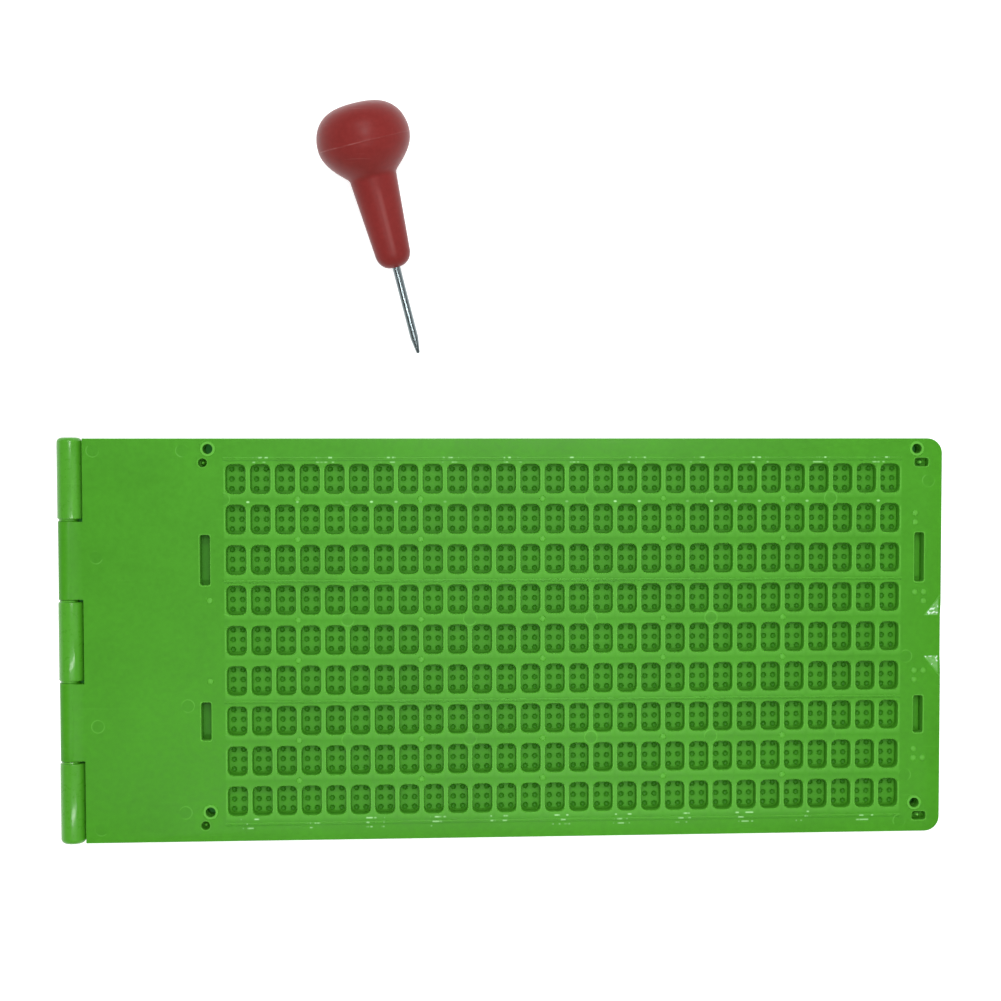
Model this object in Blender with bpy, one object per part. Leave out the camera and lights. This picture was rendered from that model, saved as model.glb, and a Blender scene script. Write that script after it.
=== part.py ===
"""Braille writing slate with its stylus, in metres, +Z up.

A perforated lid is hinged to a base plate along the left edge. Paper goes between the two, held on four
moulded pins, and the stylus dents it through the lid's windows, one window for each braille cell.
The origin is the centre of the slate's underside, +X runs from the hinge to the opening edge, and +Y
runs from the last writing line to the first.
"""

import math

import bmesh
import bpy
from mathutils import Matrix, Vector

# Writing grid
CELL_PITCH = 0.00607
LINE_PITCH = 0.010
WINDOW_WIDTH = 0.00495
WINDOW_HEIGHT = 0.00735
WINDOW_CORNER = 0.0012
WINDOW_CORNER_SEGMENTS = 1

# Plates
SLATE_LENGTH = 0.221
SLATE_WIDTH = 0.100
BASE_THICKNESS = 0.0023
LID_THICKNESS = 0.0024
PAPER_GAP = 0.0003
CORNER_RADIUS = 0.0038
CORNER_SEGMENTS = 5

# From the opening edge to the last cell's centre, and the least room from the other edges to a cell's centre
LAST_CELL_TO_EDGE = 0.0133
HINGE_MARGIN = 0.0430
LINE_MARGIN = 0.0095

# Hinge
KNUCKLES = 5
KNUCKLE_DIAMETER = 0.0054
KNUCKLE_SIDES = 28
KNUCKLE_END_GAP = 0.0005
KNUCKLE_EDGE_GAP = 0.0005
KNUCKLE_OVERHANG = 0.0003
KNUCKLE_END_ROUND = 0.0012
KNUCKLE_ROUND_SEGMENTS = 3
NECK_START = 0.0006
NECK_SETBACK = 0.0002
HINGE_PIN_DIAMETER = 0.0018
HINGE_PIN_CLEARANCE = 0.00025
HINGE_PIN_END_WALL = 0.003
HINGE_PIN_SETBACK = 0.0006
HINGE_PIN_CHAMFER = 0.0002
HINGE_PIN_SIDES = 16

# Paper pins on the base, and their holes in the lid
PAPER_PIN_DIAMETER = 0.0015
PAPER_PIN_TIP_DIAMETER = 0.0006
PAPER_PIN_HEIGHT = 0.0019
PAPER_PIN_ROOT = 0.0005
PAPER_PIN_SIDES = 12
PAPER_PIN_FROM_CELL = 0.0080
PAPER_PIN_ABOVE_LINE = 0.0040
PIN_HOLE_DIAMETER = 0.0022
PIN_SLOT_LENGTH = 0.0036
PIN_SLOT_CORNER = 0.0005

# Ringed holes through both plates
RING_HOLE_DIAMETER = 0.0025
RING_DIAMETER = 0.0042
RING_HEIGHT = 0.00025
RING_ROOT = 0.0005
RING_SIDES = 16
RING_FROM_CELL = 0.0067
RING_ABOVE_LINE = 0.0074

# Sighting slots at both ends of the third line from the top and the third from the bottom
SLOT_LINE = 3
UPPER_SLOT_LENGTH = 0.0125
LOWER_SLOT_LENGTH = 0.0095
SLOT_FROM_CELL = 0.0076
SLOT_WIDTH = 0.0025
SLOT_CORNER = 0.0003

# Thumb recess in the lid's opening edge
THUMB_INNER_WIDTH = 0.0113
THUMB_OUTER_WIDTH = 0.0200
THUMB_REACH = 0.0042
THUMB_DEPTH = 0.0014

# Raised dots on the lid: line numbers as places across and down, line marks, and the marks between every
# fifth cell
DOT_DIAMETER = 0.0013
DOT_TIP_DIAMETER = 0.0006
DOT_HEIGHT = 0.0003
DOT_ROOT = 0.0005
DOT_SIDES = 6
DOT_PITCH = 0.0023
NUMBER_FROM_CELL = 0.0065
COUNT_EVERY = 5
BLOCK_LINES = 3
NUMBER_DOTS = {
    2: ((0, 0), (0, 1)),
    4: ((0, 0), (1, 0), (1, 1)),
    6: ((0, 0), (1, 0), (0, 1)),
    8: ((0, 0), (0, 1), (1, 1)),
}
LEFT_MARK_LINES = (4, 6)

# Stylus
KNOB_DIAMETER = 0.0228
KNOB_HALF_LENGTH = 0.0100
KNOB_STEPS = 9
KNOB_END_SHARE = 0.86
GRIP_START = 0.0112
GRIP_START_DIAMETER = 0.0113
GRIP_END_DIAMETER = 0.0086
GRIP_END = 0.0323
GRIP_END_ROUND = 0.0034
GRIP_ROUND_STEPS = 4
HANDLE_SIDES = 28
NEEDLE_DIAMETER = 0.0020
NEEDLE_TIP_DIAMETER = 0.0009
NEEDLE_REACH = 0.0533
NEEDLE_TAPER = 0.0040
NEEDLE_SOCKET_DEPTH = 0.0160
NEEDLE_CLEARANCE = 0.0003
NEEDLE_SIDES = 16
STYLUS_X = -0.0345
STYLUS_Y = 0.1219
STYLUS_TURN = math.radians(13.9)
TILT_ROUNDS = 12

# One overrun for every cut, the distance within which coincident points are merged, and the angle past
# which an edge is shaded sharp
CUT_OVERRUN = 0.0010
MERGE_DISTANCE = 0.000001
SHARP_ANGLE = math.radians(35)

# The grid has as many cells and lines as the plates hold
CELLS = 1 + math.floor((SLATE_LENGTH - HINGE_MARGIN - LAST_CELL_TO_EDGE) / CELL_PITCH)
LINES = 1 + math.floor((SLATE_WIDTH - 2 * LINE_MARGIN) / LINE_PITCH)
HALF_LENGTH = SLATE_LENGTH / 2
HALF_WIDTH = SLATE_WIDTH / 2
LID_BOTTOM = BASE_THICKNESS + PAPER_GAP
LID_TOP = LID_BOTTOM + LID_THICKNESS
KNUCKLE_RADIUS = KNUCKLE_DIAMETER / 2
HINGE_X = KNUCKLE_RADIUS - HALF_LENGTH
HINGE_Z = KNUCKLE_RADIUS
LAST_CELL_X = HALF_LENGTH - LAST_CELL_TO_EDGE
GRID_X = LAST_CELL_X - CELL_PITCH * (CELLS - 1) / 2
HALF_GRID = CELL_PITCH * (CELLS - 1) / 2
FIRST_LINE_Y = LINE_PITCH * (LINES - 1) / 2
GREEN = (0.085, 0.31, 0.030)
GREEN_ROUGHNESS = 0.45
RED = (0.26, 0.040, 0.038)
RED_ROUGHNESS = 0.35
STEEL = (0.62, 0.64, 0.64)
STEEL_ROUGHNESS = 0.3


def material(name, colour, roughness, metallic):
    made = bpy.data.materials.new(name)
    made.use_nodes = True
    shader = made.node_tree.nodes["Principled BSDF"]
    shader.inputs["Base Color"].default_value = (*colour, 1)
    shader.inputs["Roughness"].default_value = roughness
    shader.inputs["Metallic"].default_value = metallic
    return made


def add_object(name, shape, finish=None):
    mesh = bpy.data.meshes.new(name)
    shape.to_mesh(mesh)
    shape.free()
    mesh.shade_smooth()
    mesh.set_sharp_from_angle(angle=SHARP_ANGLE)
    made = bpy.data.objects.new(name, mesh)
    bpy.context.scene.collection.objects.link(made)
    if finish:
        mesh.materials.append(finish)
    return made


def boolean(target, tool, operation):
    """Joins the tool to the target or cuts it away, and leaves the tool out of the part."""
    tool.hide_render = True
    tool.display_type = "WIRE"
    modifier = target.modifiers.new(tool.name, "BOOLEAN")
    modifier.operation = operation
    modifier.object = tool


def add_block(shape, centre, size, corner, segments):
    """An upright block about a centre, with its four upright edges rounded."""
    place = Matrix.LocRotScale(Vector(centre), None, Vector(size))
    block = bmesh.ops.create_cube(shape, size=1, matrix=place)
    edges = dict.fromkeys(edge for vert in block["verts"] for edge in vert.link_edges)
    upright = [edge for edge in edges if abs(edge.verts[0].co.z - edge.verts[1].co.z) > corner]
    bmesh.ops.bevel(
        shape, geom=upright, offset=corner, segments=segments, profile=0.5, affect="EDGES", material=-1
    )


def add_peg(shape, x, y, low, high, diameter, tip_diameter, sides):
    """An upright round peg between two heights."""
    bmesh.ops.create_cone(
        shape,
        cap_ends=True,
        segments=sides,
        radius1=diameter / 2,
        radius2=tip_diameter / 2,
        depth=high - low,
        matrix=Matrix.Translation((x, y, (low + high) / 2)),
    )


def add_bar(shape, y_low, y_high, diameter, sides):
    """A round bar along the hinge axis between two places, and the points of its two ends."""
    middle = (y_low + y_high) / 2
    bar = bmesh.ops.create_cone(
        shape,
        cap_ends=True,
        segments=sides,
        radius1=diameter / 2,
        radius2=diameter / 2,
        depth=y_high - y_low,
        matrix=Matrix.Translation((HINGE_X, middle, HINGE_Z)) @ Matrix.Rotation(math.pi / 2, 4, "X"),
    )
    low_end = [vert for vert in bar["verts"] if vert.co.y < middle]
    high_end = [vert for vert in bar["verts"] if vert.co.y > middle]
    return low_end, high_end


def round_end(shape, rim, offset, segments):
    edges = dict.fromkeys(edge for vert in rim for edge in vert.link_edges)
    ring = [edge for edge in edges if set(edge.verts) <= set(rim)]
    bmesh.ops.bevel(
        shape, geom=ring, offset=offset, segments=segments, profile=0.5, affect="EDGES", material=-1
    )


def knuckle_span(index):
    """Where a knuckle starts and ends along Y, the first at the first line's edge of the slate."""
    pitch = SLATE_WIDTH / KNUCKLES
    high = HALF_WIDTH - index * pitch
    low = high - pitch
    high += KNUCKLE_OVERHANG if index == 0 else -KNUCKLE_END_GAP / 2
    low += -KNUCKLE_OVERHANG if index == KNUCKLES - 1 else KNUCKLE_END_GAP / 2
    return low, high


def plate_outline(own_knuckles):
    """The plate from above, anticlockwise from its lower right corner, with a neck to each own knuckle."""
    edge_x = HINGE_X + KNUCKLE_RADIUS + KNUCKLE_EDGE_GAP
    neck_x = HINGE_X + NECK_START
    points = [(HALF_LENGTH, -HALF_WIDTH), (HALF_LENGTH, HALF_WIDTH), (edge_x, HALF_WIDTH)]
    for index in own_knuckles:
        low, high = knuckle_span(index)
        high = min(high, HALF_WIDTH - KNUCKLE_END_ROUND) - NECK_SETBACK
        low = max(low, KNUCKLE_END_ROUND - HALF_WIDTH) + NECK_SETBACK
        points += [(edge_x, high), (neck_x, high), (neck_x, low), (edge_x, low)]
    points.append((edge_x, -HALF_WIDTH))
    return points


def add_plate(name, own_knuckles, low, high, finish):
    shape = bmesh.new()
    outline = [shape.verts.new((x, y, low)) for x, y in plate_outline(own_knuckles)]
    face = shape.faces.new(outline)
    raised = bmesh.ops.extrude_face_region(shape, geom=[face])
    top = [item for item in raised["geom"] if isinstance(item, bmesh.types.BMVert)]
    bmesh.ops.translate(shape, vec=(0, 0, high - low), verts=top)
    bmesh.ops.recalc_face_normals(shape, faces=shape.faces)
    corners = [
        edge
        for edge in shape.edges
        if all(abs(vert.co.x - HALF_LENGTH) < MERGE_DISTANCE for vert in edge.verts)
        and abs(edge.verts[0].co.y - edge.verts[1].co.y) < MERGE_DISTANCE
    ]
    bmesh.ops.bevel(
        shape,
        geom=corners,
        offset=CORNER_RADIUS,
        segments=CORNER_SEGMENTS,
        profile=0.5,
        affect="EDGES",
        material=-1,
    )
    return add_object(name, shape, finish)


def add_knuckles(name, own_knuckles):
    """The plate's own knuckles, the outermost ones with rounded ends."""
    shape = bmesh.new()
    for index in own_knuckles:
        low, high = knuckle_span(index)
        low_rim, high_rim = add_bar(shape, low, high, KNUCKLE_DIAMETER, KNUCKLE_SIDES)
        if index == 0:
            round_end(shape, high_rim, KNUCKLE_END_ROUND, KNUCKLE_ROUND_SEGMENTS)
        if index == KNUCKLES - 1:
            round_end(shape, low_rim, KNUCKLE_END_ROUND, KNUCKLE_ROUND_SEGMENTS)
    return add_object(name, shape)


def add_bore(name, low, high):
    """The cut for the hinge pin, wide enough that its flats clear the pin."""
    shape = bmesh.new()
    round_pin = HINGE_PIN_DIAMETER + 2 * HINGE_PIN_CLEARANCE
    add_bar(shape, low, high, round_pin / math.cos(math.pi / HINGE_PIN_SIDES), HINGE_PIN_SIDES)
    return add_object(name, shape)


def corner_places(from_cell, above_line):
    """Four places beside the grid, the lower two one page step below, where the paper's own holes line up."""
    reach = HALF_GRID + from_cell
    top = FIRST_LINE_Y + above_line
    page_step = LINES * LINE_PITCH
    return [(GRID_X + side * reach, y) for side in (-1, 1) for y in (top, top - page_step)]


def line_y(line):
    """The height of a writing line's centre on the page, the first line being number 1."""
    return FIRST_LINE_Y - (line - 1) * LINE_PITCH


def on_page(lines):
    """Those of some line numbers that the slate is tall enough to have."""
    return [line for line in lines if line <= LINES]


def add_window_cutter():
    """One window at the lower left cell, repeated over the whole grid."""
    shape = bmesh.new()
    centre = (GRID_X - HALF_GRID, -FIRST_LINE_Y, (LID_BOTTOM + LID_TOP) / 2)
    size = (WINDOW_WIDTH, WINDOW_HEIGHT, LID_THICKNESS + 2 * CUT_OVERRUN)
    add_block(shape, centre, size, WINDOW_CORNER, WINDOW_CORNER_SEGMENTS)
    cutter = add_object("window_cutter", shape)
    for count, step in ((CELLS, (CELL_PITCH, 0, 0)), (LINES, (0, LINE_PITCH, 0))):
        repeat = cutter.modifiers.new("repeat", "ARRAY")
        repeat.count = count
        repeat.use_relative_offset = False
        repeat.use_constant_offset = True
        repeat.constant_offset_displace = step
    return cutter


def add_lid_cutter():
    """The pin holes, ringed holes and sighting slots of the lid."""
    shape = bmesh.new()
    low = LID_BOTTOM - CUT_OVERRUN
    high = LID_TOP + CUT_OVERRUN
    middle = (low + high) / 2
    for x, y in corner_places(RING_FROM_CELL, RING_ABOVE_LINE):
        add_peg(shape, x, y, low, high, RING_HOLE_DIAMETER, RING_HOLE_DIAMETER, RING_SIDES)
    for x, y in corner_places(PAPER_PIN_FROM_CELL, PAPER_PIN_ABOVE_LINE):
        if x < GRID_X:
            add_peg(shape, x, y, low, high, PIN_HOLE_DIAMETER, PIN_HOLE_DIAMETER, PAPER_PIN_SIDES)
        else:
            size = (PIN_SLOT_LENGTH, PIN_HOLE_DIAMETER, high - low)
            add_block(shape, (x, y, middle), size, PIN_SLOT_CORNER, 1)
    for side in (-1, 1):
        x = GRID_X + side * (HALF_GRID + SLOT_FROM_CELL)
        for line, length in ((SLOT_LINE, UPPER_SLOT_LENGTH), (LINES + 1 - SLOT_LINE, LOWER_SLOT_LENGTH)):
            add_block(shape, (x, line_y(line), middle), (SLOT_WIDTH, length, high - low), SLOT_CORNER, 1)
    return add_object("lid_cutter", shape)


def add_thumb_cutter():
    """A ramp that falls to the opening edge between two slanted cheeks."""
    shape = bmesh.new()
    past_edge = 1 + CUT_OVERRUN / THUMB_REACH
    inner_x = HALF_LENGTH - THUMB_REACH
    outer_x = inner_x + THUMB_REACH * past_edge
    for side in (-1, 1):
        inner_y = side * THUMB_INNER_WIDTH / 2
        outer_y = inner_y + side * (THUMB_OUTER_WIDTH - THUMB_INNER_WIDTH) / 2 * past_edge
        for x, y in ((inner_x, inner_y), (outer_x, outer_y)):
            shape.verts.new((x, y, LID_TOP))
            shape.verts.new((x, y, LID_TOP + CUT_OVERRUN))
        shape.verts.new((outer_x, inner_y, LID_TOP - THUMB_DEPTH * past_edge))
    bmesh.ops.convex_hull(shape, input=shape.verts)
    bmesh.ops.recalc_face_normals(shape, faces=shape.faces)
    return add_object("thumb_cutter", shape)


def dot_places():
    """Where the lid carries raised dots."""
    number_x = LAST_CELL_X + NUMBER_FROM_CELL
    places = []
    for line in on_page(NUMBER_DOTS):
        for across, down in NUMBER_DOTS[line]:
            x = number_x + across * DOT_PITCH
            places.append((x, line_y(line) + DOT_PITCH / 2 - down * DOT_PITCH))
    for line in on_page(LEFT_MARK_LINES):
        places.append((GRID_X - HALF_GRID - NUMBER_FROM_CELL, line_y(line)))
    for line in range(1, LINES):
        if line % BLOCK_LINES == 0:
            continue
        for count in range(COUNT_EVERY, CELLS, COUNT_EVERY):
            x = LAST_CELL_X - (count - 1) * CELL_PITCH - CELL_PITCH / 2
            places.append((x, line_y(line) - LINE_PITCH / 2))
    return places


def add_lid_relief():
    """The rings round the larger holes and the raised dots, sunk a little into the lid to join it."""
    shape = bmesh.new()
    for x, y in corner_places(RING_FROM_CELL, RING_ABOVE_LINE):
        low = LID_TOP - RING_ROOT
        high = LID_TOP + RING_HEIGHT
        add_peg(shape, x, y, low, high, RING_DIAMETER, RING_DIAMETER, RING_SIDES)
    for x, y in dot_places():
        low = LID_TOP - DOT_ROOT
        high = LID_TOP + DOT_HEIGHT
        add_peg(shape, x, y, low, high, DOT_DIAMETER, DOT_TIP_DIAMETER, DOT_SIDES)
    return add_object("lid_relief", shape)


def add_window_plate(finish):
    own = range(1, KNUCKLES, 2)
    plate = add_plate("window_plate", own, LID_BOTTOM, LID_TOP, finish)
    boolean(plate, add_knuckles("lid_knuckles", own), "UNION")
    boolean(plate, add_lid_relief(), "UNION")
    reach = HALF_WIDTH + CUT_OVERRUN
    boolean(plate, add_bore("lid_bore", -reach, reach), "DIFFERENCE")
    boolean(plate, add_lid_cutter(), "DIFFERENCE")
    boolean(plate, add_thumb_cutter(), "DIFFERENCE")
    boolean(plate, add_window_cutter(), "DIFFERENCE")
    axis = bpy.data.objects.new("lid_axis", None)
    axis.location = (HINGE_X, 0, HINGE_Z)
    bpy.context.scene.collection.objects.link(axis)
    plate.parent = axis
    plate.matrix_parent_inverse = Matrix.Translation(-axis.location)


def add_base_plate(finish):
    own = range(0, KNUCKLES, 2)
    plate = add_plate("base_plate", own, 0, BASE_THICKNESS, finish)
    boolean(plate, add_knuckles("base_knuckles", own), "UNION")
    pins = bmesh.new()
    for x, y in corner_places(PAPER_PIN_FROM_CELL, PAPER_PIN_ABOVE_LINE):
        low = BASE_THICKNESS - PAPER_PIN_ROOT
        high = BASE_THICKNESS + PAPER_PIN_HEIGHT
        add_peg(pins, x, y, low, high, PAPER_PIN_DIAMETER, PAPER_PIN_TIP_DIAMETER, PAPER_PIN_SIDES)
    boolean(plate, add_object("paper_pins", pins), "UNION")
    holes = bmesh.new()
    for x, y in corner_places(RING_FROM_CELL, RING_ABOVE_LINE):
        high = BASE_THICKNESS + CUT_OVERRUN
        add_peg(holes, x, y, -CUT_OVERRUN, high, RING_HOLE_DIAMETER, RING_HOLE_DIAMETER, RING_SIDES)
    boolean(plate, add_object("base_cutter", holes), "DIFFERENCE")
    bore_end = HINGE_PIN_END_WALL - HALF_WIDTH
    bore = add_bore("base_bore", bore_end, HALF_WIDTH + KNUCKLE_OVERHANG + CUT_OVERRUN)
    boolean(plate, bore, "DIFFERENCE")


def add_hinge_pin(finish):
    shape = bmesh.new()
    low = HINGE_PIN_END_WALL - HALF_WIDTH + HINGE_PIN_CLEARANCE
    ends = add_bar(shape, low, HALF_WIDTH - HINGE_PIN_SETBACK, HINGE_PIN_DIAMETER, HINGE_PIN_SIDES)
    for rim in ends:
        round_end(shape, rim, HINGE_PIN_CHAMFER, 1)
    add_object("hinge_pin", shape, finish)


def turned(name, profile, sides, finish):
    """A solid turned about Z, from (radius, height) points whose first and last lie on the axis."""
    shape = bmesh.new()
    points = [shape.verts.new((radius, 0, height)) for radius, height in profile]
    edges = [shape.edges.new(pair) for pair in zip(points, points[1:])]
    bmesh.ops.spin(
        shape,
        geom=points + edges,
        cent=(0, 0, 0),
        axis=(0, 0, 1),
        angle=math.tau,
        steps=sides,
        use_merge=True,
    )
    bmesh.ops.remove_doubles(shape, verts=shape.verts, dist=MERGE_DISTANCE)
    bmesh.ops.recalc_face_normals(shape, faces=shape.faces)
    return add_object(name, shape, finish)


def handle_profile():
    """From the knob's crown round its ball, along the tapering grip and up into the needle's socket."""
    knob_end = math.pi * KNOB_END_SHARE
    points = []
    for step in range(KNOB_STEPS + 1):
        angle = knob_end * step / KNOB_STEPS
        points.append((math.sin(angle) * KNOB_DIAMETER / 2, -math.cos(angle) * KNOB_HALF_LENGTH))
    grip_radius = GRIP_START_DIAMETER / 2
    points = [point for point in points if point[1] < 0 or point[0] > grip_radius]
    points.append((grip_radius, GRIP_START))
    end_radius = GRIP_END_DIAMETER / 2
    socket_radius = NEEDLE_DIAMETER / 2 + NEEDLE_CLEARANCE
    for step in range(GRIP_ROUND_STEPS + 1):
        angle = math.pi / 2 * step / GRIP_ROUND_STEPS
        radius = socket_radius + (end_radius - socket_radius) * math.cos(angle)
        points.append((radius, GRIP_END - GRIP_END_ROUND * (1 - math.sin(angle))))
    socket_floor = GRIP_END - NEEDLE_SOCKET_DEPTH
    return points + [(socket_radius, socket_floor), (0, socket_floor)]


def needle_profile():
    radius = NEEDLE_DIAMETER / 2
    tip_radius = NEEDLE_TIP_DIAMETER / 2
    root = GRIP_END - NEEDLE_SOCKET_DEPTH + NEEDLE_CLEARANCE
    return [
        (0, root),
        (radius, root),
        (radius, NEEDLE_REACH - NEEDLE_TAPER),
        (tip_radius, NEEDLE_REACH - tip_radius),
        (tip_radius * math.sin(math.pi / 4), NEEDLE_REACH - tip_radius * (1 - math.cos(math.pi / 4))),
        (0, NEEDLE_REACH),
    ]


def resting_tilt():
    """How far the stylus leans and how high its knob's centre lies, on its knob and its needle's tip."""
    tilt = 0
    for _ in range(TILT_ROUNDS):
        across = math.cos(tilt) * KNOB_DIAMETER / 2
        along = math.sin(tilt) * KNOB_HALF_LENGTH
        height = math.hypot(across, along)
        tilt = math.asin((height - NEEDLE_TIP_DIAMETER / 2) / (NEEDLE_REACH - NEEDLE_TIP_DIAMETER / 2))
    return tilt, height


def add_stylus(plastic, steel):
    """The handle and its needle, lying on the surface above the slate."""
    tilt, height = resting_tilt()
    place = bpy.data.objects.new("stylus_place", None)
    place.location = (STYLUS_X, STYLUS_Y, height)
    place.rotation_euler = (math.pi / 2 + tilt, 0, STYLUS_TURN)
    bpy.context.scene.collection.objects.link(place)
    handle = turned("stylus_handle", handle_profile(), HANDLE_SIDES, plastic)
    needle = turned("stylus_needle", needle_profile(), NEEDLE_SIDES, steel)
    handle.parent = place
    needle.parent = place


def main():
    for leftover in list(bpy.data.objects):
        bpy.data.objects.remove(leftover, do_unlink=True)
    add_base_plate(material("base_plastic", GREEN, GREEN_ROUGHNESS, 0))
    add_window_plate(material("window_plastic", GREEN, GREEN_ROUGHNESS, 0))
    add_hinge_pin(material("pin_steel", STEEL, STEEL_ROUGHNESS, 1))
    handle_plastic = material("handle_plastic", RED, RED_ROUGHNESS, 0)
    needle_steel = material("needle_steel", STEEL, STEEL_ROUGHNESS, 1)
    add_stylus(handle_plastic, needle_steel)


main()
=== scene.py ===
"""The looks of a braille writing slate and its stylus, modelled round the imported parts. Metres, +Z up.

The two plates and the stylus are made again with their fine shapes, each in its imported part's place, and ride
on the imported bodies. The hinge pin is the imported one, in drawn steel.
"""

import math

import bmesh
import bpy
from mathutils import Matrix, Vector


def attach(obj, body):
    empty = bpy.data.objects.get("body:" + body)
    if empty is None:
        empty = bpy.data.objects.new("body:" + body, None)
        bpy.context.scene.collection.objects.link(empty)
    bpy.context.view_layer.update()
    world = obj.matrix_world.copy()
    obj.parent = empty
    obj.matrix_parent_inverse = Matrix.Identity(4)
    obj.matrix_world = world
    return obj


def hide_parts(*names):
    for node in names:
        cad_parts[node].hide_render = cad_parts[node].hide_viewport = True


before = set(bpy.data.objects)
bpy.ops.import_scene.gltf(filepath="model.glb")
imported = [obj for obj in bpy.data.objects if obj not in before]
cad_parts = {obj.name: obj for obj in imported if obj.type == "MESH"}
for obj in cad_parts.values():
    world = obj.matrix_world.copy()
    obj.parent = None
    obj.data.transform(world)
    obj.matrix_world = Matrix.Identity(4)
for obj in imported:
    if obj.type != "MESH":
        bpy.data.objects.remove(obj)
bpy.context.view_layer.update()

MM = 0.001

# Writing grid
CELLS = 28
LINES = 9
CELL_PITCH = 6.07 * MM
LINE_PITCH = 10 * MM
GRID_X = 15.255 * MM
WINDOW_SIZE = (4.95 * MM, 7.35 * MM)
WINDOW_CORNER = 1.2 * MM
WINDOW_CORNER_SEGMENTS = 3
WINDOW_RIM = 0.15 * MM
WINDOW_BAND = 0.25 * MM
WINDOW_DRAFT = 0.1 * MM
PIT_DIAMETER = 1.45 * MM
PIT_ACROSS = 2.4 * MM
PIT_DOWN = 2.45 * MM
PIT_SIDES = 12
PIT_STEPS = ((0.80, 0.26 * MM), (0.45, 0.46 * MM))
PIT_DEPTH = 0.5 * MM
BORDER_ROWS = 5

# Plates
SLATE_LENGTH = 221 * MM
SLATE_WIDTH = 100 * MM
BASE_TOP = 2.3 * MM
LID_BOTTOM = 2.6 * MM
LID_TOP = 5.0 * MM
CORNER_RADIUS = 3.8 * MM
CORNER_SEGMENTS = 10
PLATE_RIM = 0.22 * MM
PLATE_RIM_STEPS = 3

# Hinge
KNUCKLES = 5
KNUCKLE_DIAMETER = 5.4 * MM
BASE_KNUCKLE_WIDTH = 6.1 * MM
LID_KNUCKLE_DIAMETER = 5.1 * MM
BOSS_DIAMETER = 4.6 * MM
BOSS_GAP = 0.06 * MM
KNUCKLE_SIDES = 64
KNUCKLE_END_GAP = 0.5 * MM
KNUCKLE_EDGE_GAP = 0.5 * MM
KNUCKLE_OVERHANG = 0.3 * MM
KNUCKLE_END_ROUND = 1.2 * MM
KNUCKLE_ROUND_STEPS = 6
KNUCKLE_END_RIM = 0.25 * MM
KNUCKLE_RIM_STEPS = 3
NECK_START = 0.6 * MM
NECK_SETBACK = 0.2 * MM
BORE_DIAMETER = 2.3 * MM
BORE_END_WALL = 3.0 * MM
BORE_SIDES = 32

# Paper pins and their holes, ringed holes and sighting slots
PAPER_PIN_DIAMETER = 1.5 * MM
PAPER_PIN_TIP_SHARE = 0.4
PAPER_PIN_HEIGHT = 1.9 * MM
PAPER_PIN_FROM_CELL = 8.0 * MM
PAPER_PIN_ABOVE_LINE = 4.0 * MM
PIN_HOLE_DIAMETER = 2.2 * MM
PIN_HOLE_RIM = 0.12 * MM
PIN_SLOT_LENGTH = 3.6 * MM
PIN_SLOT_CORNER = 0.5 * MM
RING_HOLE_DIAMETER = 2.5 * MM
RING_DIAMETER = 4.0 * MM
RING_HEIGHT = 0.25 * MM
RING_FROM_CELL = 6.7 * MM
RING_ABOVE_LINE = 7.4 * MM
HOLE_SIDES = 24
SLOT_LINE = 3
UPPER_SLOT_LENGTH = 12.5 * MM
LOWER_SLOT_LENGTH = 9.5 * MM
SLOT_WIDTH = 2.5 * MM
SLOT_CORNER = 0.35 * MM
SLOT_CORNER_SEGMENTS = 3
SLOT_FROM_CELL = 7.6 * MM
SLOT_FOOT = 0.05 * MM
SLOT_RECESS_DEPTH = 0.9 * MM

# Thumb recess
THUMB_INNER_WIDTH = 10.3 * MM
THUMB_OUTER_WIDTH = 20.6 * MM
THUMB_REACH = 4.4 * MM
THUMB_DEPTH = 0.6 * MM
CHEEK_GLINTS_END = 8.2 * MM
CHEEK_GLINTS_FADE = 1 * MM

# Raised dots and the fine ridges that the mould's inserts leave
DOT_DIAMETER = 1.6 * MM
DOT_HEIGHT = 0.18 * MM
DOT_SIDES = 16
DOT_PITCH = 2.3 * MM
NUMBER_FROM_CELL = 6.5 * MM
COUNT_EVERY = 5
BLOCK_LINES = 3
NUMBER_DOTS = {
    2: ((0, 0), (0, 1)),
    4: ((0, 0), (1, 0), (1, 1)),
    6: ((0, 0), (1, 0), (0, 1)),
    8: ((0, 0), (0, 1), (1, 1)),
}
LEFT_MARK_LINES = (4, 6)
RIDGE_WIDTH = 0.3 * MM
RIDGE_HEIGHT = 0.08 * MM
SEAM_DIP_HEIGHT = RIDGE_HEIGHT / 4
SEAM_PLACES = ((0, 0.25 * MM, -0.45 * MM), (3, -0.15 * MM, -0.65 * MM), (6, -0.15 * MM, -0.65 * MM),
               (9, -0.5 * MM, -1.1 * MM))
# Rows of glints: the line they lie by, the place from there, the strength and the first group's middle
GLINT_ROWS = (
    (0.5, 0.25 * MM, 0.9, 6.5 * MM), (0.5, -0.9 * MM, 0.5, 6.5 * MM),
    (9.5, 0.45 * MM, 0.8, 3 * MM), (9.5, -0.7 * MM, 0.7, 3 * MM), (9.5, -1.8 * MM, 0.6, 3 * MM),
)
GLINT_GROUP_PITCH = 15.5 * MM
GLINT_GROUP_LENGTH = 5 * MM
GLINT_DEPTH = 1 * MM
EJECTOR_MARK_DIAMETER = 3.1 * MM
EJECTOR_MARK_FROM_CELL = 5
PLATE_EJECTOR_MARKS = (
    (86.2, -35.5), (86.3, -5.2), (91.8, 39.3), (84.9, -47.2), (-94.9, 47.0), (-116.6, 47.0),
    (-116.0, 20.8), (-116.0, -21.0), (-94.0, -16.1), (-94.8, -42.7), (-115.4, -46.6),
)
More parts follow.
